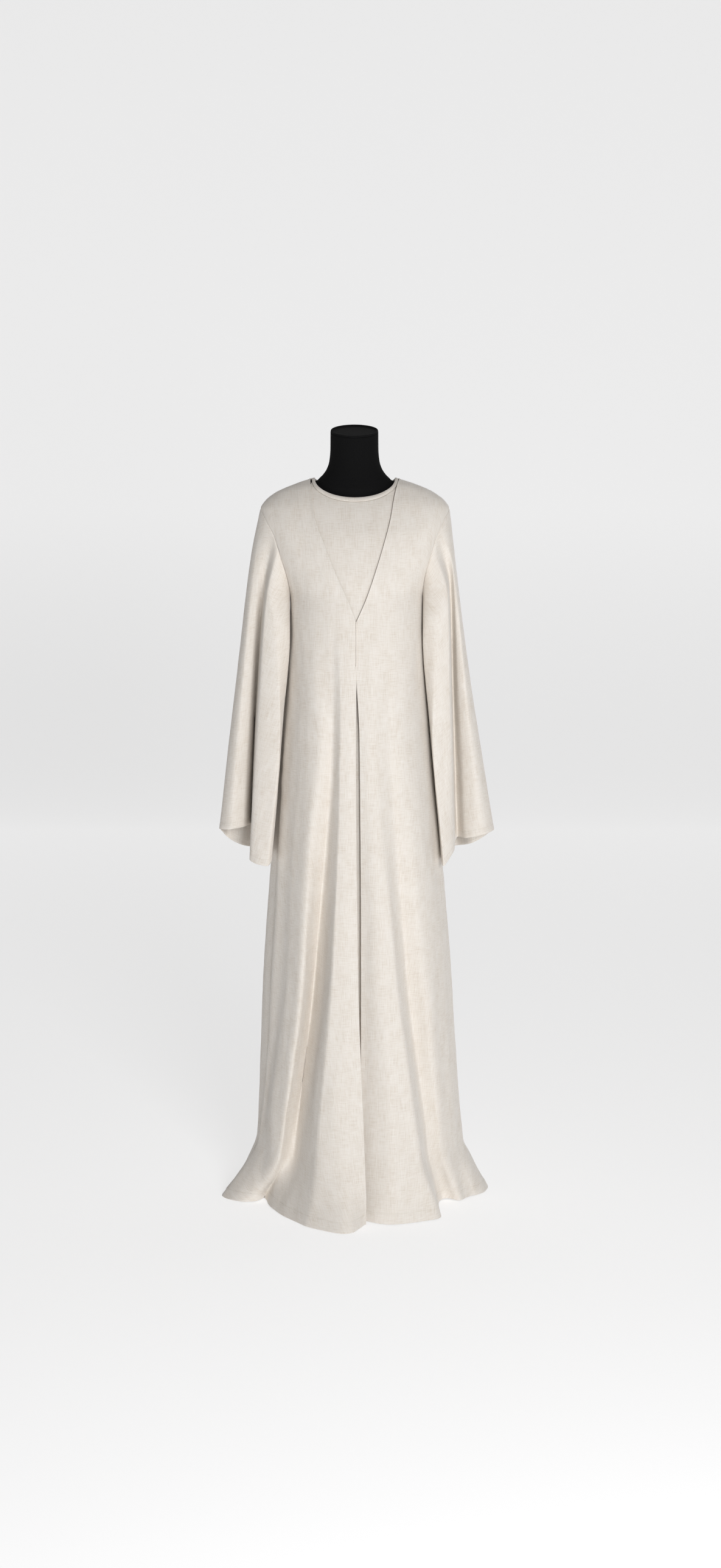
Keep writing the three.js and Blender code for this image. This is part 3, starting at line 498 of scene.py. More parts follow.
# A cloth wall from its outer grid: the inner face, and rounded rims along its open edges.
def makeWall(name, outer, thickness, closed=False, bulge=None, threads=None):
    normals = gridNormals(outer, closed)
    inner = outer - normals * thickness
    outer = outer.copy()
    for face in (outer, inner):
        face[..., 2] = np.maximum(face[..., 2], lowest)
    count = outer.size // 3
    flatOuter, flatInner = outer.reshape(-1, 3), inner.reshape(-1, 3)
    index = np.arange(count).reshape(outer.shape[:2])
    beside = np.roll(index, -1, 1) if closed else index[:, 1:]
    here = index if closed else index[:, :-1]
    quads = np.stack([here[:-1], here[1:], beside[1:], beside[:-1]], -1).reshape(-1, 4)
    corner = flatOuter[quads[:, 0]]
    turn = np.cross(flatOuter[quads[:, 1]] - corner, flatOuter[quads[:, 2]] - corner)
    if np.einsum("ij,ij->", turn, normals.reshape(-1, 3)[quads[:, 0]]) <= 0:
        quads = quads[:, ::-1]
    faces = [quads, quads[:, ::-1] + count]
    bulge = {**rim, **(bulge or {})}
    along = np.zeros_like(outer)
    along[0] += bulge["top"] * unit(outer[0] - outer[1])
    along[-1] += bulge["bottom"] * unit(outer[-1] - outer[-2])
    if closed:
        loops = [list(index[0]), list(index[-1])]
    else:
        along[:, 0] += bulge["start"] * unit(outer[:, 0] - outer[:, 1])
        along[:, -1] += bulge["end"] * unit(outer[:, -1] - outer[:, -2])
        loops = [[*index[0, :-1], *index[:-1, -1], *index[-1, :0:-1], *index[:0:-1, 0]]]
    edge = set()
    for a, b in zip(quads, np.roll(quads, -1, 1)):
        edge.update(zip(a, b))
    verts, base = [flatOuter, flatInner], 2 * count
    for loop in loops:
        middle = (flatOuter[loop] + flatInner[loop]) / 2 + along.reshape(-1, 3)[loop]
        middle[:, 2] = np.maximum(middle[:, 2], lowest)
        verts.append(middle)
        for k, a in enumerate(loop):
            after = (k + 1) % len(loop)
            b, m, n = loop[after], base + k, base + after
            pairs = [(a, b, n, m), (m, n, b + count, a + count)]
            if (a, b) in edge:
                pairs = [p[::-1] for p in pairs]
            faces.append(np.array(pairs))
        base += len(loop)
    if threads is None:
        down = runLengths(outer, 0)
        threads = np.stack([runLengths(outer, 1), down, 0 * down], -1)
    flatThreads = threads.reshape(-1, 3) * mm
    rimThreads = [flatThreads[loop] for loop in loops]
    allThreads = np.concatenate([flatThreads, flatThreads, *rimThreads])
    return makeMesh(name, np.concatenate(verts), np.concatenate(faces), allThreads)


edgeLines = {
    "top": (np.s_[0], np.s_[1]), "start": (np.s_[:, 0], np.s_[:, 1]), "end": (np.s_[:, -1], np.s_[:, -2]),
}


# Pulls an edge in along the cloth, to leave half the gap of a seam.
def pullEdge(grid, edge, by):
    out = grid.copy()
    line, nextLine = edgeLines[edge]
    out[line] = grid[line] + unit(grid[nextLine] - grid[line]) * np.asarray(by)
    return out


# The cloth turns in a little where it is sewn.
def sinkSeam(grid, normals, edge, depth, width, mask=1.0):
    d = fromEdge(grid, edge)
    return grid - normals * (depth * np.exp(-((d / width) ** 2)) * mask)[..., None]


# A shallow ridge of layers between a stitch line and the edge, with a groove at the stitches.
hemStep = {"width": 3.0, "lift": 0.35, "groove": 0.35, "grooveWidth": 0.6}


def layHem(grid, normals, depth):
    d, p = fromEdge(grid, "bottom"), hemStep
    raised = p["lift"] * (1 - smoothStep(depth - p["width"], depth + p["width"] / 2, d))
    cut = p["groove"] * np.exp(-(((d - depth) / (p["width"] * p["grooveWidth"])) ** 2))
    return grid + normals * (raised - cut)[..., None]


# Each piece is cut from another part of the roll.
threadShift = {"back": 4000.0, "inset": 6000.0, -1: 7100.0, 1: 8900.0}


# Where the threads run: across from a column and down from a row, as lengths.
def threadsOf(grid, column=0, row=0, shift=0.0):
    across, down = runLengths(grid, 1), runLengths(grid, 0)
    across = across - across[:, column : column + 1] + shift
    down = down - down[row : row + 1]
    return np.stack([across, down, 0 * down], -1)


# Height in mm of each kind of wrinkle, above and below the waist.
wrinkles = {
    "hanging": {"across": 34.0, "up": 420.0, "above": 0.3, "below": 2.7, "seed": 1},
    "long": {"across": 19.0, "up": 150.0, "above": 0.45, "below": 0.9, "seed": 4},
    "short": {"across": 15.0, "up": 34.0, "above": 0.28, "below": 0.4, "seed": 2},
    "fine": {"across": 6.0, "up": 11.0, "above": 0.10, "below": 0.13, "seed": 3},
}
waistRange = (1060.0, 860.0)


def crumple(grid, normals, strength=1.0):
    total = np.zeros(grid.shape[:2])
    low = smoothStep(-waistRange[0], -waistRange[1], -grid[..., 2])
    for w in wrinkles.values():
        size = w["above"] * (1 - low) + w["below"] * low
        total += size * softNoise(grid, w["across"], w["up"], w["seed"])
    return grid + normals * (total * strength)[..., None]


# Strain lines as (start, end, half width, height); places are (outwards, z), front only.
strainLines = {
    -1: [
        ((128, 1228), (104, 1130), 7.0, 1.5), ((122, 1200), (112, 1060), 6.0, 1.2),
        ((108, 1190), (92, 1010), 8.0, 1.3), ((84, 1130), (78, 960), 9.0, 1.2),
        ((134, 1150), (128, 1020), 5.0, 1.0), ((150, 1400), (112, 1290), 12.0, 1.2),
        ((52, 1160), (46, 1010), 8.0, 1.0),
    ],
    1: [
        ((126, 1225), (108, 1120), 7.0, 1.2), ((116, 1190), (100, 1040), 7.0, 1.1),
        ((64, 1150), (72, 985), 9.0, 1.2), ((30, 1120), (34, 960), 8.0, 1.1),
        ((152, 1398), (118, 1280), 12.0, 1.1),
    ],
}


def strain(grid, normals, side):
    total = np.zeros(grid.shape[:2])
    q = np.stack([side * grid[..., 0], grid[..., 2]], -1)
    for start, end, width, height in strainLines[side]:
        a, b = np.array(start, float), np.array(end, float)
        t = np.clip(((q - a) @ (b - a)) / ((b - a) @ (b - a)), 0, 1)
        d = np.linalg.norm(q - a - t[..., None] * (b - a), axis=-1)
        taper = np.sin(np.pi * (0.12 + 0.76 * t))
        total += height * taper * np.exp(-((d / width) ** 2))
    return grid + normals * total[..., None]


# Cloth puckers a little along a long seam, and more where it is eased.
seamPucker = {
    "pitch": 17.0, "width": 11.0, "height": 1.0, "least": 0.35, "from": (300, 620), "to": (900, 1100),
}


def pucker(grid, normals, edge):
    p = seamPucker
    d = fromEdge(grid, edge)
    heights = grid[..., 2]
    waves = np.array([noise.noise(Vector((z / p["pitch"], 4.7, 1.3))) for z in heights.ravel()])
    strong = p["least"] + 0.65 * smoothStep(*p["from"], heights) * (1 - smoothStep(*p["to"], heights))
    size = p["height"] * strong * waves.reshape(d.shape) * np.exp(-((d / p["width"]) ** 2))
    return grid + normals * size[..., None]


def newMaterial(name, colour, roughness, **sockets):
    material = bpy.data.materials.new(name)
    material.use_nodes = True
    shader = next(n for n in material.node_tree.nodes if n.type == "BSDF_PRINCIPLED")
    shader.inputs["Base Color"].default_value = (*colour, 1)
    shader.inputs["Roughness"].default_value = roughness
    for socket, value in sockets.items():
        shader.inputs[socket].default_value = value
    return material, material.node_tree, shader


def mathNode(tree, operation, a, b):
    node = tree.nodes.new("ShaderNodeMath")
    node.operation = operation
    for socket, value in zip(node.inputs, (a, b)):
        if isinstance(value, (int, float)):
            socket.default_value = value
        else:
            tree.links.new(value, socket)
    return node.outputs[0]


def stretchedNoise(tree, coords, scale, size=1.0, detail=2.0):
    mapping = tree.nodes.new("ShaderNodeMapping")
    mapping.inputs["Scale"].default_value = scale
    tree.links.new(coords, mapping.inputs["Vector"])
    texture = tree.nodes.new("ShaderNodeTexNoise")
    texture.inputs["Scale"].default_value = size
    texture.inputs["Detail"].default_value = detail
    tree.links.new(mapping.outputs[0], texture.inputs["Vector"])
    return texture.outputs["Fac"]


# Plain-woven linen: fine threads both ways, thick slubs here and there, slightly uneven dye.
linen = {
    "dark": (0.675, 0.61, 0.535), "colour": (0.76, 0.71, 0.65), "light": (0.81, 0.77, 0.72),
    "darkAt": 0.50, "colourAt": 0.63, "lightAt": 0.78, "roughness": 0.92,
    "threadsPerMetre": 1300.0, "threadRun": 22, "slubsAcross": (48, 620, 1), "slubsUp": (560, 36, 1),
    "clouds": (38, 22, 1), "cloudDetail": 5.0, "threadShare": 0.18, "slubShare": 0.34, "cloudShare": 0.22,
    "slubHeight": 1.6, "bumpStrength": 0.75, "bumpDepth": 0.0002,
}
linenSheen = {"Sheen Weight": 0.25, "Sheen Roughness": 0.5, "IOR": 1.4}


# The bump and the colours of a material from one height and one shade.
def dressShader(tree, shader, shade, stops, height, strength, depth):
    ramp = tree.nodes.new("ShaderNodeValToRGB")
    elements = ramp.color_ramp.elements
    elements[0].position, elements[1].position = stops[0][0], stops[-1][0]
    elements[0].color, elements[1].color = (*stops[0][1], 1), (*stops[-1][1], 1)
    for at, colour in stops[1:-1]:
        elements.new(at).color = (*colour, 1)
    tree.links.new(shade, ramp.inputs["Fac"])
    tree.links.new(ramp.outputs["Color"], shader.inputs["Base Color"])
    bump = tree.nodes.new("ShaderNodeBump")
    bump.inputs["Strength"].default_value = strength
    bump.inputs["Distance"].default_value = depth
    tree.links.new(height, bump.inputs["Height"])
    tree.links.new(bump.outputs["Normal"], shader.inputs["Normal"])


def linenMaterial():
    p = linen
    material, tree, shader = newMaterial("linenCloth", p["colour"], p["roughness"], **linenSheen)
    attribute = tree.nodes.new("ShaderNodeAttribute")
    attribute.attribute_name = "threads"
    uv = attribute.outputs["Vector"]
    n, run = p["threadsPerMetre"], p["threadRun"]
    warp, weft, slubAcross, slubUp = (
        stretchedNoise(tree, uv, scale)
        for scale in ((n, n / run, 1), (n / run, n, 1), p["slubsAcross"], p["slubsUp"])
    )
    cloud = stretchedNoise(tree, uv, p["clouds"], detail=p["cloudDetail"])
    threads = mathNode(tree, "ADD", warp, weft)
    slubs = mathNode(tree, "ADD", slubAcross, slubUp)
    shade = mathNode(tree, "MULTIPLY", threads, p["threadShare"])
    for value, share in ((slubs, p["slubShare"]), (cloud, p["cloudShare"])):
        shade = mathNode(tree, "ADD", shade, mathNode(tree, "MULTIPLY", value, share))
    height = mathNode(tree, "ADD", threads, mathNode(tree, "MULTIPLY", slubs, p["slubHeight"]))
    stops = [(p[key + "At"], p[key]) for key in ("dark", "colour", "light")]
    dressShader(tree, shader, shade, stops, height, p["bumpStrength"], p["bumpDepth"])
    return material


# Finishes with a fine grain: colour, roughness, specular level, then the grain's scale, depth
# and spread of shade.
finishes = {
    "threadYarn": ((0.66, 0.61, 0.53), 0.8, 0.5, 2600, 0.0001, 0.2),
    "jerseyBlack": ((0.006, 0.006, 0.0062), 0.95, 0.08, 1500, 0.00015, 0.3),
    "capBlack": ((0.007, 0.007, 0.0073), 0.75, 0.06, 420, 0.0001, 0.25),
    "powderBlack": ((0.016, 0.016, 0.017), 0.5, 0.5, 900, 0.0001, 0.3),
}
grain = {"detail": 3.0, "darkAt": 0.3, "lightAt": 0.7, "bumpStrength": 0.5}


def grainMaterial(name):
    colour, roughness, specular, scale, depth, spread = finishes[name]
    material, tree, shader = newMaterial(name, colour, roughness, **{"Specular IOR Level": specular})
    coords = tree.nodes.new("ShaderNodeTexCoord").outputs["Object"]
    fine = stretchedNoise(tree, coords, (1, 1, 1), scale, grain["detail"])
    stops = [(grain[key], [c * share for c in colour])
             for key, share in (("darkAt", 1 - spread), ("lightAt", 1 + spread))]
    dressShader(tree, shader, fine, stops, fine, grain["bumpStrength"], depth)
    return material


linenCloth = linenMaterial()
threadYarn, jerseyBlack, capBlack, powderBlack = (grainMaterial(name) for name in finishes)


def finishCloth(piece, node):
    piece.data.materials.append(linenCloth)
    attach(piece, "root")
    measured = sum(p.area for p in piece.data.polygons) / 2
    print(f"{piece.name}: {len(piece.data.polygons)} faces, cloth {measured:.3f} m2")
    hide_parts(node)


# A stitch is a short spindle of thread: rings as (share of its length, size, lift in radii).
stitch = {
    "pitch": 3.4, "length": 2.5, "radius": 0.22, "lift": 0.1, "unevenness": 0.12, "around": 6,
    "rings": [(0.0, 0.35, -0.25), (0.2, 1.0, 0.0), (0.5, 1.1, 0.1), (0.8, 1.0, 0.0), (1.0, 0.35, -0.25)],
}


# The line across a grid at one distance from its bottom edge, with the normals along it.
def lineAbove(grid, closed, distance):
    grid, normals, d = grid[::-1], gridNormals(grid, closed)[::-1], fromEdge(grid, "bottom")[::-1]
    points, across = [], []
    for i in range(grid.shape[1]):
        place = np.interp(distance, d[:, i], np.arange(len(d)))
        j = min(int(place), len(d) - 2)
        t = place - j
        points.append(grid[j, i] * (1 - t) + grid[j + 1, i] * t)
        across.append(unit(normals[j, i] * (1 - t) + normals[j + 1, i] * t))
    if closed:
        points, across = points + points[:1], across + across[:1]
    return np.array(points), np.array(across)


def sewLine(name, points, normals):
    run = np.concatenate([[0], np.cumsum(np.linalg.norm(np.diff(points, axis=0), axis=1))])
    p = stitch
    starts = np.arange(p["pitch"], run[-1] - p["pitch"], p["pitch"])
    starts = starts + rng.normal(0, p["unevenness"], len(starts))

    def sample(values, at):
        return np.stack([np.interp(at, run, values[:, k]) for k in range(3)], -1)

    head, tail = sample(points, starts), sample(points, starts + p["length"])
    up = unit(sample(normals, starts + p["length"] / 2))
    side = unit(np.cross(unit(tail - head), up))
    r, around = p["radius"], p["around"]
    verts, faces = [], []
    for share, size, lift in p["rings"]:
        middle = head + (tail - head) * share + up * (p["lift"] + lift * r)
        for k in range(around):
            a = 2 * np.pi * k / around
            verts.append(middle + (side * np.cos(a) + up * np.sin(a)) * r * size)
    base = np.arange(len(starts))[:, None] * len(verts)
    for ring in range(len(p["rings"]) - 1):
        for k in range(around):
            a, b = base + ring * around + k, base + ring * around + (k + 1) % around
            faces.append(np.concatenate([a, b, b + around, a + around], 1))
    piece = makeMesh(name, np.stack(verts, 1).reshape(-1, 3), np.concatenate(faces))
    fixNormals(piece)
    piece.data.materials.append(threadYarn)
    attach(piece, "root")
    return piece


# Lays and sews the hem of a front, back or sleeve, and makes the piece.
def makeHemmed(names, grid, normals, threads, depth, closed=False, bulge=None):
    grid = layHem(grid, normals, depth)
    name, line, node = names
    piece = makeWall(name, grid, cloth["thickness"], closed, bulge, threads)
    sewn = [sewLine(line, *lineAbove(grid, closed, depth))]
    finishCloth(piece, node)


seams = {"depth": 0.8, "width": 2.6}
centreSeam = {"depth": 1.2, "width": 2.4}
hemDepth = 20.0
# The facing behind the V shows as a faint step beside the edge, fainter on the left.
facing = {
    "width": 27.0, "step": 0.5, "leftShare": 0.5, "line": 1.6, "lip": 0.8, "lipWidth": 2.6, "fade": 30,
}


def underarmRow(half):
    return int(np.argmin(np.abs(np.nan_to_num(half["z"], nan=0) - cloth["underarm"])))


def dressFront(name, node, half):
    grid = half["front"]
    side = half["side"]
    closed = (half["z"] >= cloth["slitTop"]) & (half["z"] <= cloth["vBottom"])
    grid = pullEdge(grid, "start", np.where(closed, 2 * halfGap, 0)[:, None])
    grid = pullEdge(pullEdge(grid, "end", halfGap), "top", halfGap)
    normals = gridNormals(grid)
    threads = threadsOf(grid, 0, underarmRow(half), np.abs(grid[:, :1, 0]))
    fromV = fromEdge(grid, "start")
    grid = pucker(strain(crumple(grid, normals), normals, side), normals, "end")
    grid = sinkSeam(sinkSeam(grid, normals, "end", **seams), normals, "top", **seams)
    grid = sinkSeam(grid, normals, "start", **centreSeam, mask=closed[:, None].astype(float))
    p, v = facing, cloth["vBottom"]
    upper = np.isnan(half["z"]) | (half["z"] > v)
    shown = upper[:, None] * smoothStep(v, v + p["fade"], grid[..., 2])
    step = 1 - smoothStep(p["width"] - p["line"], p["width"] + p["line"], fromV)
    lip = p["lip"] * np.exp(-((fromV / p["lipWidth"]) ** 2))
    raised = p["step"] * (p["leftShare"] if side > 0 else 1.0) * step + lip
    grid = grid + normals * (raised * shown)[..., None]
    names = name, name + "HemStitch", node
    makeHemmed(names, grid, normals, threads, hemDepth, bulge={"start": 0.4})


def dressBack():
    grid = np.concatenate([right["back"], left["back"][:, -2::-1]], axis=1)
    for edge in ("start", "end", "top"):
        grid = pullEdge(grid, edge, halfGap)
    normals = gridNormals(grid)
    threads = threadsOf(grid, right["back"].shape[1] - 1, underarmRow(right), threadShift["back"])
    grid = pucker(pucker(crumple(grid, normals), normals, "start"), normals, "end")
    for edge in ("start", "end", "top"):
        grid = sinkSeam(grid, normals, edge, **seams)
    names = "backPanel", "backHemStitch", "back"
    makeHemmed(names, grid, normals, threads, hemDepth)


dressFront("frontRight", "front_right", right)
dressFront("frontLeft", "front_left", left)
dressBack()
print("fronts and back done")


insetPiece = {
    "depth": 3.1, "overlap": 14.0, "overlapOver": 24.0, "bottom": 1156.0, "columns": 60, "rows": 90,
    "rowCrowding": 1.1, "dip": 1.9, "dipWidth": 3.2, "threadTop": 1450, "wrinkles": 0.5,
}


def dressInset():
    p = insetPiece
    shares = np.linspace(0, 1, p["rows"]) ** p["rowCrowding"]
    halves, dips = [], []
    for side in (-1, 1):
        line = curveThrough(vEdge[:, 0], vEdge[:, 1 if side < 0 else 2])

        def edgeAt(z):
            return line(z) + p["overlap"] * ease(np.clip((vEdge[0, 0] - z) / p["overlapOver"], 0, 1))

        top = onNeckline(side, np.linspace(0, 86, p["columns"]), bindingOut)
        z = top[None, :, 2] * (1 - shares[:, None]) + p["bottom"] * shares[:, None]
        x = top[None, :, 0] * edgeAt(z) / edgeAt(top[:, 2])[None]
        halves.append(onBody(side, degreesAtX(side, x, z), z))
        # the inset lies lower along the edge of each front, which presses it down
        dips.append(p["dip"] * np.exp(-(((x - line(z)) / p["dipWidth"]) ** 2)))
    grid = np.concatenate([halves[0][:, ::-1], halves[1][:, 1:]], axis=1)
    normals = bodyNormal(grid)
    dip = np.concatenate([dips[0][:, ::-1], dips[1][:, 1:]], axis=1)
    grid = grid - normals * (p["depth"] + dip)[..., None]
    threads = threadsOf(grid, p["columns"] - 1, 0, threadShift["inset"])
    threads[..., 1] = p["threadTop"] - grid[..., 2]
    grid = crumple(grid, normals, p["wrinkles"])
    piece = makeWall("frontInset", grid, cloth["thickness"], bulge={"bottom": 0.2}, threads=threads)
    finishCloth(piece, "front_inset")


dressInset()
bindingRoll = {
    "steps": 160, "around": 14, "outer": 0.9, "overInset": -1.7, "inner": -4.6, "roundness": 0.6,
    "groove": 0.3, "grooveAt": 0.84, "grooveWidth": 0.07, "insetEnds": (74, 92), "under": 2,
}


# A bias strip folded over the neck edge: a rounded band with a fine groove at its stitches.
def dressBinding():
    p = bindingRoll
    degrees = np.linspace(0, 180, p["steps"])
    width = neckline["bindingWidth"]

    def lineAt(across, lift):
        line = []
        for side, d in ((-1, degrees[:-1]), (1, degrees[:0:-1])):
            at = onNeckline(side, d, across * width)
            line.append(at + bodyNormal(onNeckline(side, d, width / 2)) * lift(d)[:, None])
        return np.concatenate(line)

    ring = []
    for across in np.linspace(0, 1, p["around"]):
        groove = p["groove"] * np.exp(-(((across - p["grooveAt"]) / p["grooveWidth"]) ** 2))
        roll = p["outer"] * np.sin(np.pi * across) ** p["roundness"] - groove
        ring.append(lineAt(across, lambda d: roll + p["overInset"] * (1 - smoothStep(*p["insetEnds"], d))))
    for across in np.linspace(1, 0, p["around"] // 2):
        ring.append(lineAt(across, lambda d: np.full(len(d), p["inner"])))
    grid = np.array(ring)
    a = np.arange(grid.size // 3).reshape(grid.shape[:2])
    b = np.roll(a, -1, 0)
    quads = np.stack([a, b, np.roll(b, -1, 1), np.roll(a, -1, 1)], -1).reshape(-1, 4)
    run = runLengths(grid, 1)
    threads = np.stack([run, runLengths(grid, 0), 0 * run], -1)
    piece = makeMesh("neckBinding", grid.reshape(-1, 3), quads, threads.reshape(-1, 3) * mm)
    fixNormals(piece)
    line = int(round(p["grooveAt"] * (p["around"] - 1)))
    upwards = unit(grid[line] - grid[p["around"] + p["under"]])
    closedLine = np.vstack([grid[line], grid[line, :1]])
    sewn = [sewLine("neckStitch", closedLine, np.vstack([upwards, upwards[:1]]))]
    finishCloth(piece, "neck_binding")


dressBinding()
pleat = {
    "deep": 13.0, "back": 6.0, "below": 2.6, "columns": 24, "thickness": 1.2,
    "heights": [0, 120, 1172], "widths": [34, 26, 13],
}


# A line on the inner side of a front, at these distances from its middle edge.
def lineBehind(grid, normals, rows, widths):
    run = fromEdge(grid[rows], "start")
    line = []
    for j, row in enumerate(rows):
        place = np.interp(widths[j], run[j], np.arange(run.shape[1]))
        i, t = int(place), place - int(place)
        n = unit(normals[row, i] * (1 - t) + normals[row, i + 1] * t)
        line.append(grid[row, i] * (1 - t) + grid[row, i + 1] * t - n * pleat["below"])
    return np.array(line)


# The underlay folds in behind the slit, from the right front to the left one.
def dressUnderlay():
    p = pleat
    rows = np.where(right["z"] < cloth["vBottom"])[0]
    normalsR, normalsL = gridNormals(right["front"]), gridNormals(left["front"])
    widths = np.interp(right["z"][rows], p["heights"], p["widths"])
    fromLine = lineBehind(right["front"], normalsR, rows, widths)
    toLine = lineBehind(left["front"], normalsL, rows, widths)
    fold = left["front"][rows, 0] - normalsL[rows, 0] * (p["below"] + p["deep"])
    fold[:, 0] = np.minimum(right["front"][rows, 0, 0], left["front"][rows, 0, 0]) - p["back"]
    t = np.linspace(0, 1, p["columns"])[None, :, None]
    a, b, c = fromLine[:, None], fold[:, None], toLine[:, None]
    grid = (1 - t) ** 2 * a + 2 * t * (1 - t) * (2 * b - (a + c) / 2) + t**2 * c
    piece = makeWall("pleatUnderlay", grid, p["thickness"], bulge={"bottom": 0.2})
    finishCloth(piece, "pleat_underlay")


dressUnderlay()
print("inset, binding and underlay done")


sleeveFinish = {"hem": 12.0, "capBlend": 30, "wrinkles": 0.7, "seamDepth": 0.7, "seamWidth": 1.8}
# where the long seam of each sleeve runs: (share of the length, degrees on the armhole)
sleeveSeam = {
    -1: np.array([(0, 184), (0.25, 168), (0.5, 137), (0.8, 108), (1, 97)]),
    1: np.array([(0, 184), (0.3, 178), (0.6, 168), (1, 162)]),
}


def alongSleeveSeam(grid, side):
    degrees = curveThrough(*sleeveSeam[side].T)(np.linspace(0, 1, len(grid)))
    run = runLengths(grid, 1)
    cols = run.shape[1]
    place = ((degrees - sleeveGrid["startAt"]) % 360) / 360 * cols
    at = np.array([np.interp(p, np.arange(cols), line) for p, line in zip(place, run)])
    return np.abs(run - at[:, None])


def dressSleeve(name, node, side):
    p = sleeveFinish
    grid = pullEdge(sleeveRows(side), "top", halfGap)
    normals = gridNormals(grid, True)
    top = bodyNormal(grid[:1])
    blend = 1 - smoothStep(0, p["capBlend"], fromEdge(grid, "top"))[..., None]
    threads = threadsOf(grid, 0, len(grid) - 1, threadShift[side])
    groove = p["seamDepth"] * np.exp(-((alongSleeveSeam(grid, side) / p["seamWidth"]) ** 2))
    grid = crumple(grid, normals, p["wrinkles"])
    grid = sinkSeam(grid, unit(normals * (1 - blend) + top * blend), "top", **seams)
    grid = grid - normals * groove[..., None]
    names = name, name + "CuffStitch", node
    makeHemmed(names, grid, normals, threads, p["hem"], closed=True)


dressSleeve("sleeveRight", "sleeve_right", -1)
dressSleeve("sleeveLeft", "sleeve_left", 1)
print("sleeves done")


formPiece = {
    "around": 128, "skin": 7.2, "drop": 6.0, "blend": 9.0,
    # (share of the way in, height over the neck's end): under the rim, over it, and the dish
    "cap": [
        (0.9, 0.35), (0.03, 0.35), (0.012, 0.6), (0.004, 1.5), (0.008, 2.6), (0.022, 3.5), (0.04, 3.7),
        (0.056, 3.3), (0.068, 2.2), (0.078, 0.9), (0.1, 0.55), (0.3, 0.5), (0.6, 0.48), (0.97, 0.47),
    ],
    "neckEnd": [(0.02, 0.3), (0.9, 0.0)],
    "trunk": [
        (1172, 121, 124, 90), (1100, 105, 104, 78), (1030, 100, 89, 72), (950, 114, 92, 84),
        (870, 134, 98, 98), (800, 141, 98, 104), (772, 139, 96, 102), (760, 130, 88, 94),
    ],
    "neck": [
        (1370, 76, 56, 54), (1424, 79, 56, 52), (1440, 76, 53, 50), (1448, 70, 51, 48),
        (1456, 62, 50, 46.5), (1468, 54, 48.5, 45.5), (1482, 49.5, 47.5, 45), (1505, 47.3, 47, 44.5),
        (1539, 47, 47, 44.5),
    ],
    "neckSlope": math.tan(0.28), "slopeFrom": 1482.0, "shift": -4.0, "shiftOver": (1380, 1440),
    "foot": 760, "neckBlend": 1.5, "cover": 0.4,
    # heights of the rings, as (from, to, step); the last runs to the neck's end
    "rows": [(768, 1380, 12), (1380, 1480, 2), (1480, 1539, 4)],
}


def ovalRadius(angles, section, squareness):
    s, c = np.abs(np.sin(angles)), np.abs(np.cos(angles))
    depth = np.where(np.cos(angles) >= 0, section[1], section[2])
    return ((s / section[0]) ** squareness + (c / depth) ** squareness) ** (-1 / squareness)


def closedRings(name, grid):
    index = np.arange(grid.size // 3).reshape(grid.shape[:2])
    a, b = index[:-1], index[1:]
    quads = np.stack([a, np.roll(a, -1, 1), np.roll(b, -1, 1), b], -1).reshape(-1, 4)
    ends = [index[0].tolist()[::-1], index[-1].tolist()]
    piece = makeMesh(name, grid.reshape(-1, 3), [*quads.tolist(), *ends])
    fixNormals(piece)
    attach(piece, "root")
    return piece


# One smooth skin over the trunk and the neck, then the cap with its rounded rim and dish.
def dressForm():
    p = formPiece
    angles = np.linspace(0, 2 * np.pi, p["around"], endpoint=False)
    upperRows = bodySections[bodySections[:, 0] >= cloth["underarm"]]
    upper = np.column_stack([upperRows[:, 0] - p["drop"], upperRows[:, 1:4] - p["skin"] + p["cover"]])
    rows = np.vstack([np.array(p["trunk"], float)[::-1], upper[::-1]])
    rows[:, 1:] = np.maximum(rows[:, 1:], 1.0)
    trunk = curveThrough(rows[:, 0], rows[:, 1:])
    neckRows = np.array(p["neck"], float)
    neck = curveThrough(neckRows[:, 0], neckRows[:, 1:])
    neckFoot, topZ, trunkTop = neckRows[0, 0], neckRows[-1, 0], rows[-1, 0]
    grid = []
    for z in np.concatenate([[p["foot"]], *(np.arange(*run) for run in p["rows"]), [topZ]]):
        r = ovalRadius(angles, trunk(z), cloth["roundness"]) if z <= trunkTop else 0 * angles
        if z >= neckFoot:
            rn = ovalRadius(angles, neck(z), 2.0)
            k = p["blend"]
            soft = k * np.log(np.exp(r / k) + np.exp(rn / k))
            r = np.minimum(soft, np.maximum(r, rn) + p["neckBlend"])
        middle = p["shift"] * smoothStep(*p["shiftOver"], z)
        share = np.clip((z - p["slopeFrom"]) / (topZ - p["slopeFrom"]), 0, 1)
        y = -r * np.cos(angles)
        grid.append(np.stack([middle + r * np.sin(angles), y, z + y * p["neckSlope"] * share], -1))
    rim, centre = grid[-1], np.array([p["shift"], 0, topZ])

    def ringAt(inward, lift):
        return rim * (1 - inward) + centre * inward + np.array([0, 0, lift])

    neckEnd = [ringAt(*place) for place in p["neckEnd"]]
    cap = [ringAt(*place) for place in p["cap"]]
    for name, rings, material, slot, node in (
        ("formBody", grid + neckEnd, jerseyBlack, "form", "form_torso"),
        ("neckCap", cap, capBlack, "form_cap", "form_neck_cap"),
    ):
        piece = closedRings(name, np.array(rings))
        piece.data.materials.append(material)
        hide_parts(node)


dressForm()
for node in ("form_pole", "form_base"):
    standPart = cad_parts[node]
    standPart.data.materials.clear()
    standPart.data.materials.append(powderBlack)
print("dress form done")


# Seamless paper that bends up behind, evenly lit by lamps of its own.
studio = {
    "paper": (0.45, 0.45, 0.453), "roughness": 0.95, "glow": 0.61, "front": -30.0, "sweepDepth": 5.4,
    "width": 60.0, "height": 8.0, "bend": 1.4, "bendSteps": 16, "below": 0.0004,
    "worldColour": (1.0, 0.97, 0.94), "worldStrength": 0.12,
}
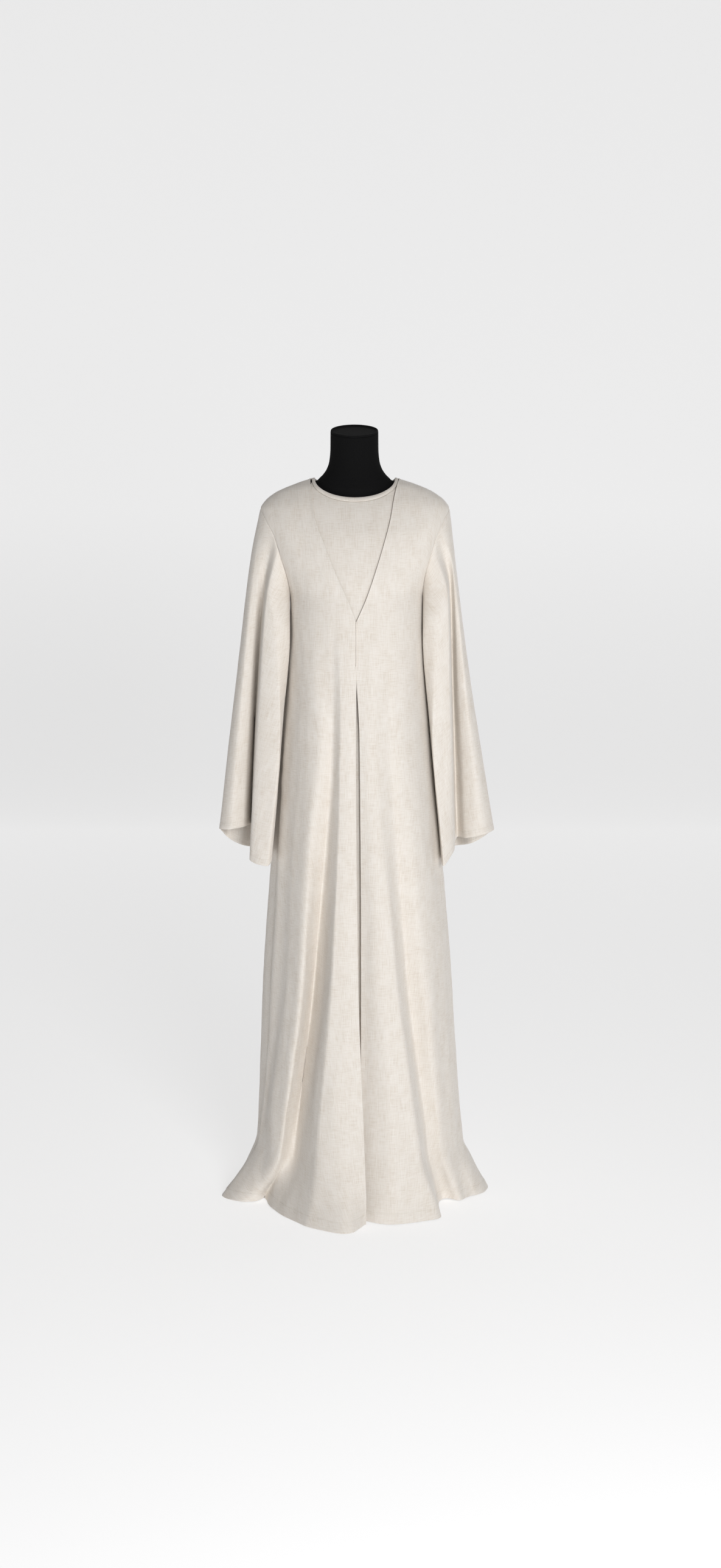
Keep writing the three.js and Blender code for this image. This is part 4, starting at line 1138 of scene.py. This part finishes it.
# where each lamp stands, what it aims at, its size, power and colour
lamps = {
    "keyLight": ((0.85, -3.8, 1.4), (0, 0, 0.5), (1.0, 1.1), 97.0, (0.99, 0.995, 1)),
    "topLight": ((0.2, 0.6, 3.4), (0, 0, 1.0), (2.5, 2.0), 8.0, (1, 1, 1)),
}


def buildFloor():
    s, deep, bend = studio, studio["sweepDepth"], studio["bend"]
    profile = [(s["front"], 0.0), (deep, 0.0)]
    for t in np.linspace(0, math.pi / 2, s["bendSteps"])[1:]:
        profile.append((deep + bend * math.sin(t), bend * (1 - math.cos(t))))
    profile.append((deep + bend, s["height"]))
    verts = [(x, y, z - s["below"]) for y, z in profile for x in (-s["width"] / 2, s["width"] / 2)]
    faces = [(2 * i, 2 * i + 1, 2 * i + 3, 2 * i + 2) for i in range(len(profile) - 1)]
    floor = makeMesh("studioFloor", np.array(verts) / mm, faces)
    glow = {"Emission Color": (1, 1, 1, 1), "Emission Strength": s["glow"]}
    floor.data.materials.append(newMaterial("paperWhite", s["paper"], s["roughness"], **glow)[0])


buildFloor()
for name, (place, aim, size, power, colour) in lamps.items():
    light = bpy.data.lights.new(name, "AREA")
    light.shape, light.size, light.size_y = "RECTANGLE", size[0], size[1]
    light.energy, light.color = power, colour
    lamp = bpy.data.objects.new(name, light)
    lamp.location = place
    lamp.rotation_euler = (Vector(aim) - Vector(place)).to_track_quat("-Z", "Y").to_euler()
    lamp.visible_camera = False
    bpy.context.scene.collection.objects.link(lamp)
world = bpy.data.worlds.new("studioWorld")
world.use_nodes = True
background = next(n for n in world.node_tree.nodes if n.type == "BACKGROUND")
background.inputs["Color"].default_value = (*studio["worldColour"], 1)
background.inputs["Strength"].default_value = studio["worldStrength"]
bpy.context.scene.world = world

lens = {"place": (0.008, -4.5, 1.375), "pitch": 6.75, "focal": 52.0, "sensor": 36.0}
camera = bpy.data.objects.new("camera", bpy.data.cameras.new("camera"))
camera.data.lens, camera.data.sensor_width = lens["focal"], lens["sensor"]
camera.location = lens["place"]
camera.rotation_euler = (math.radians(90 - lens["pitch"]), 0, 0)
bpy.context.scene.collection.objects.link(camera)
bpy.context.scene.camera = camera
bpy.context.scene.view_settings.view_transform = "Standard"
print("studio done")
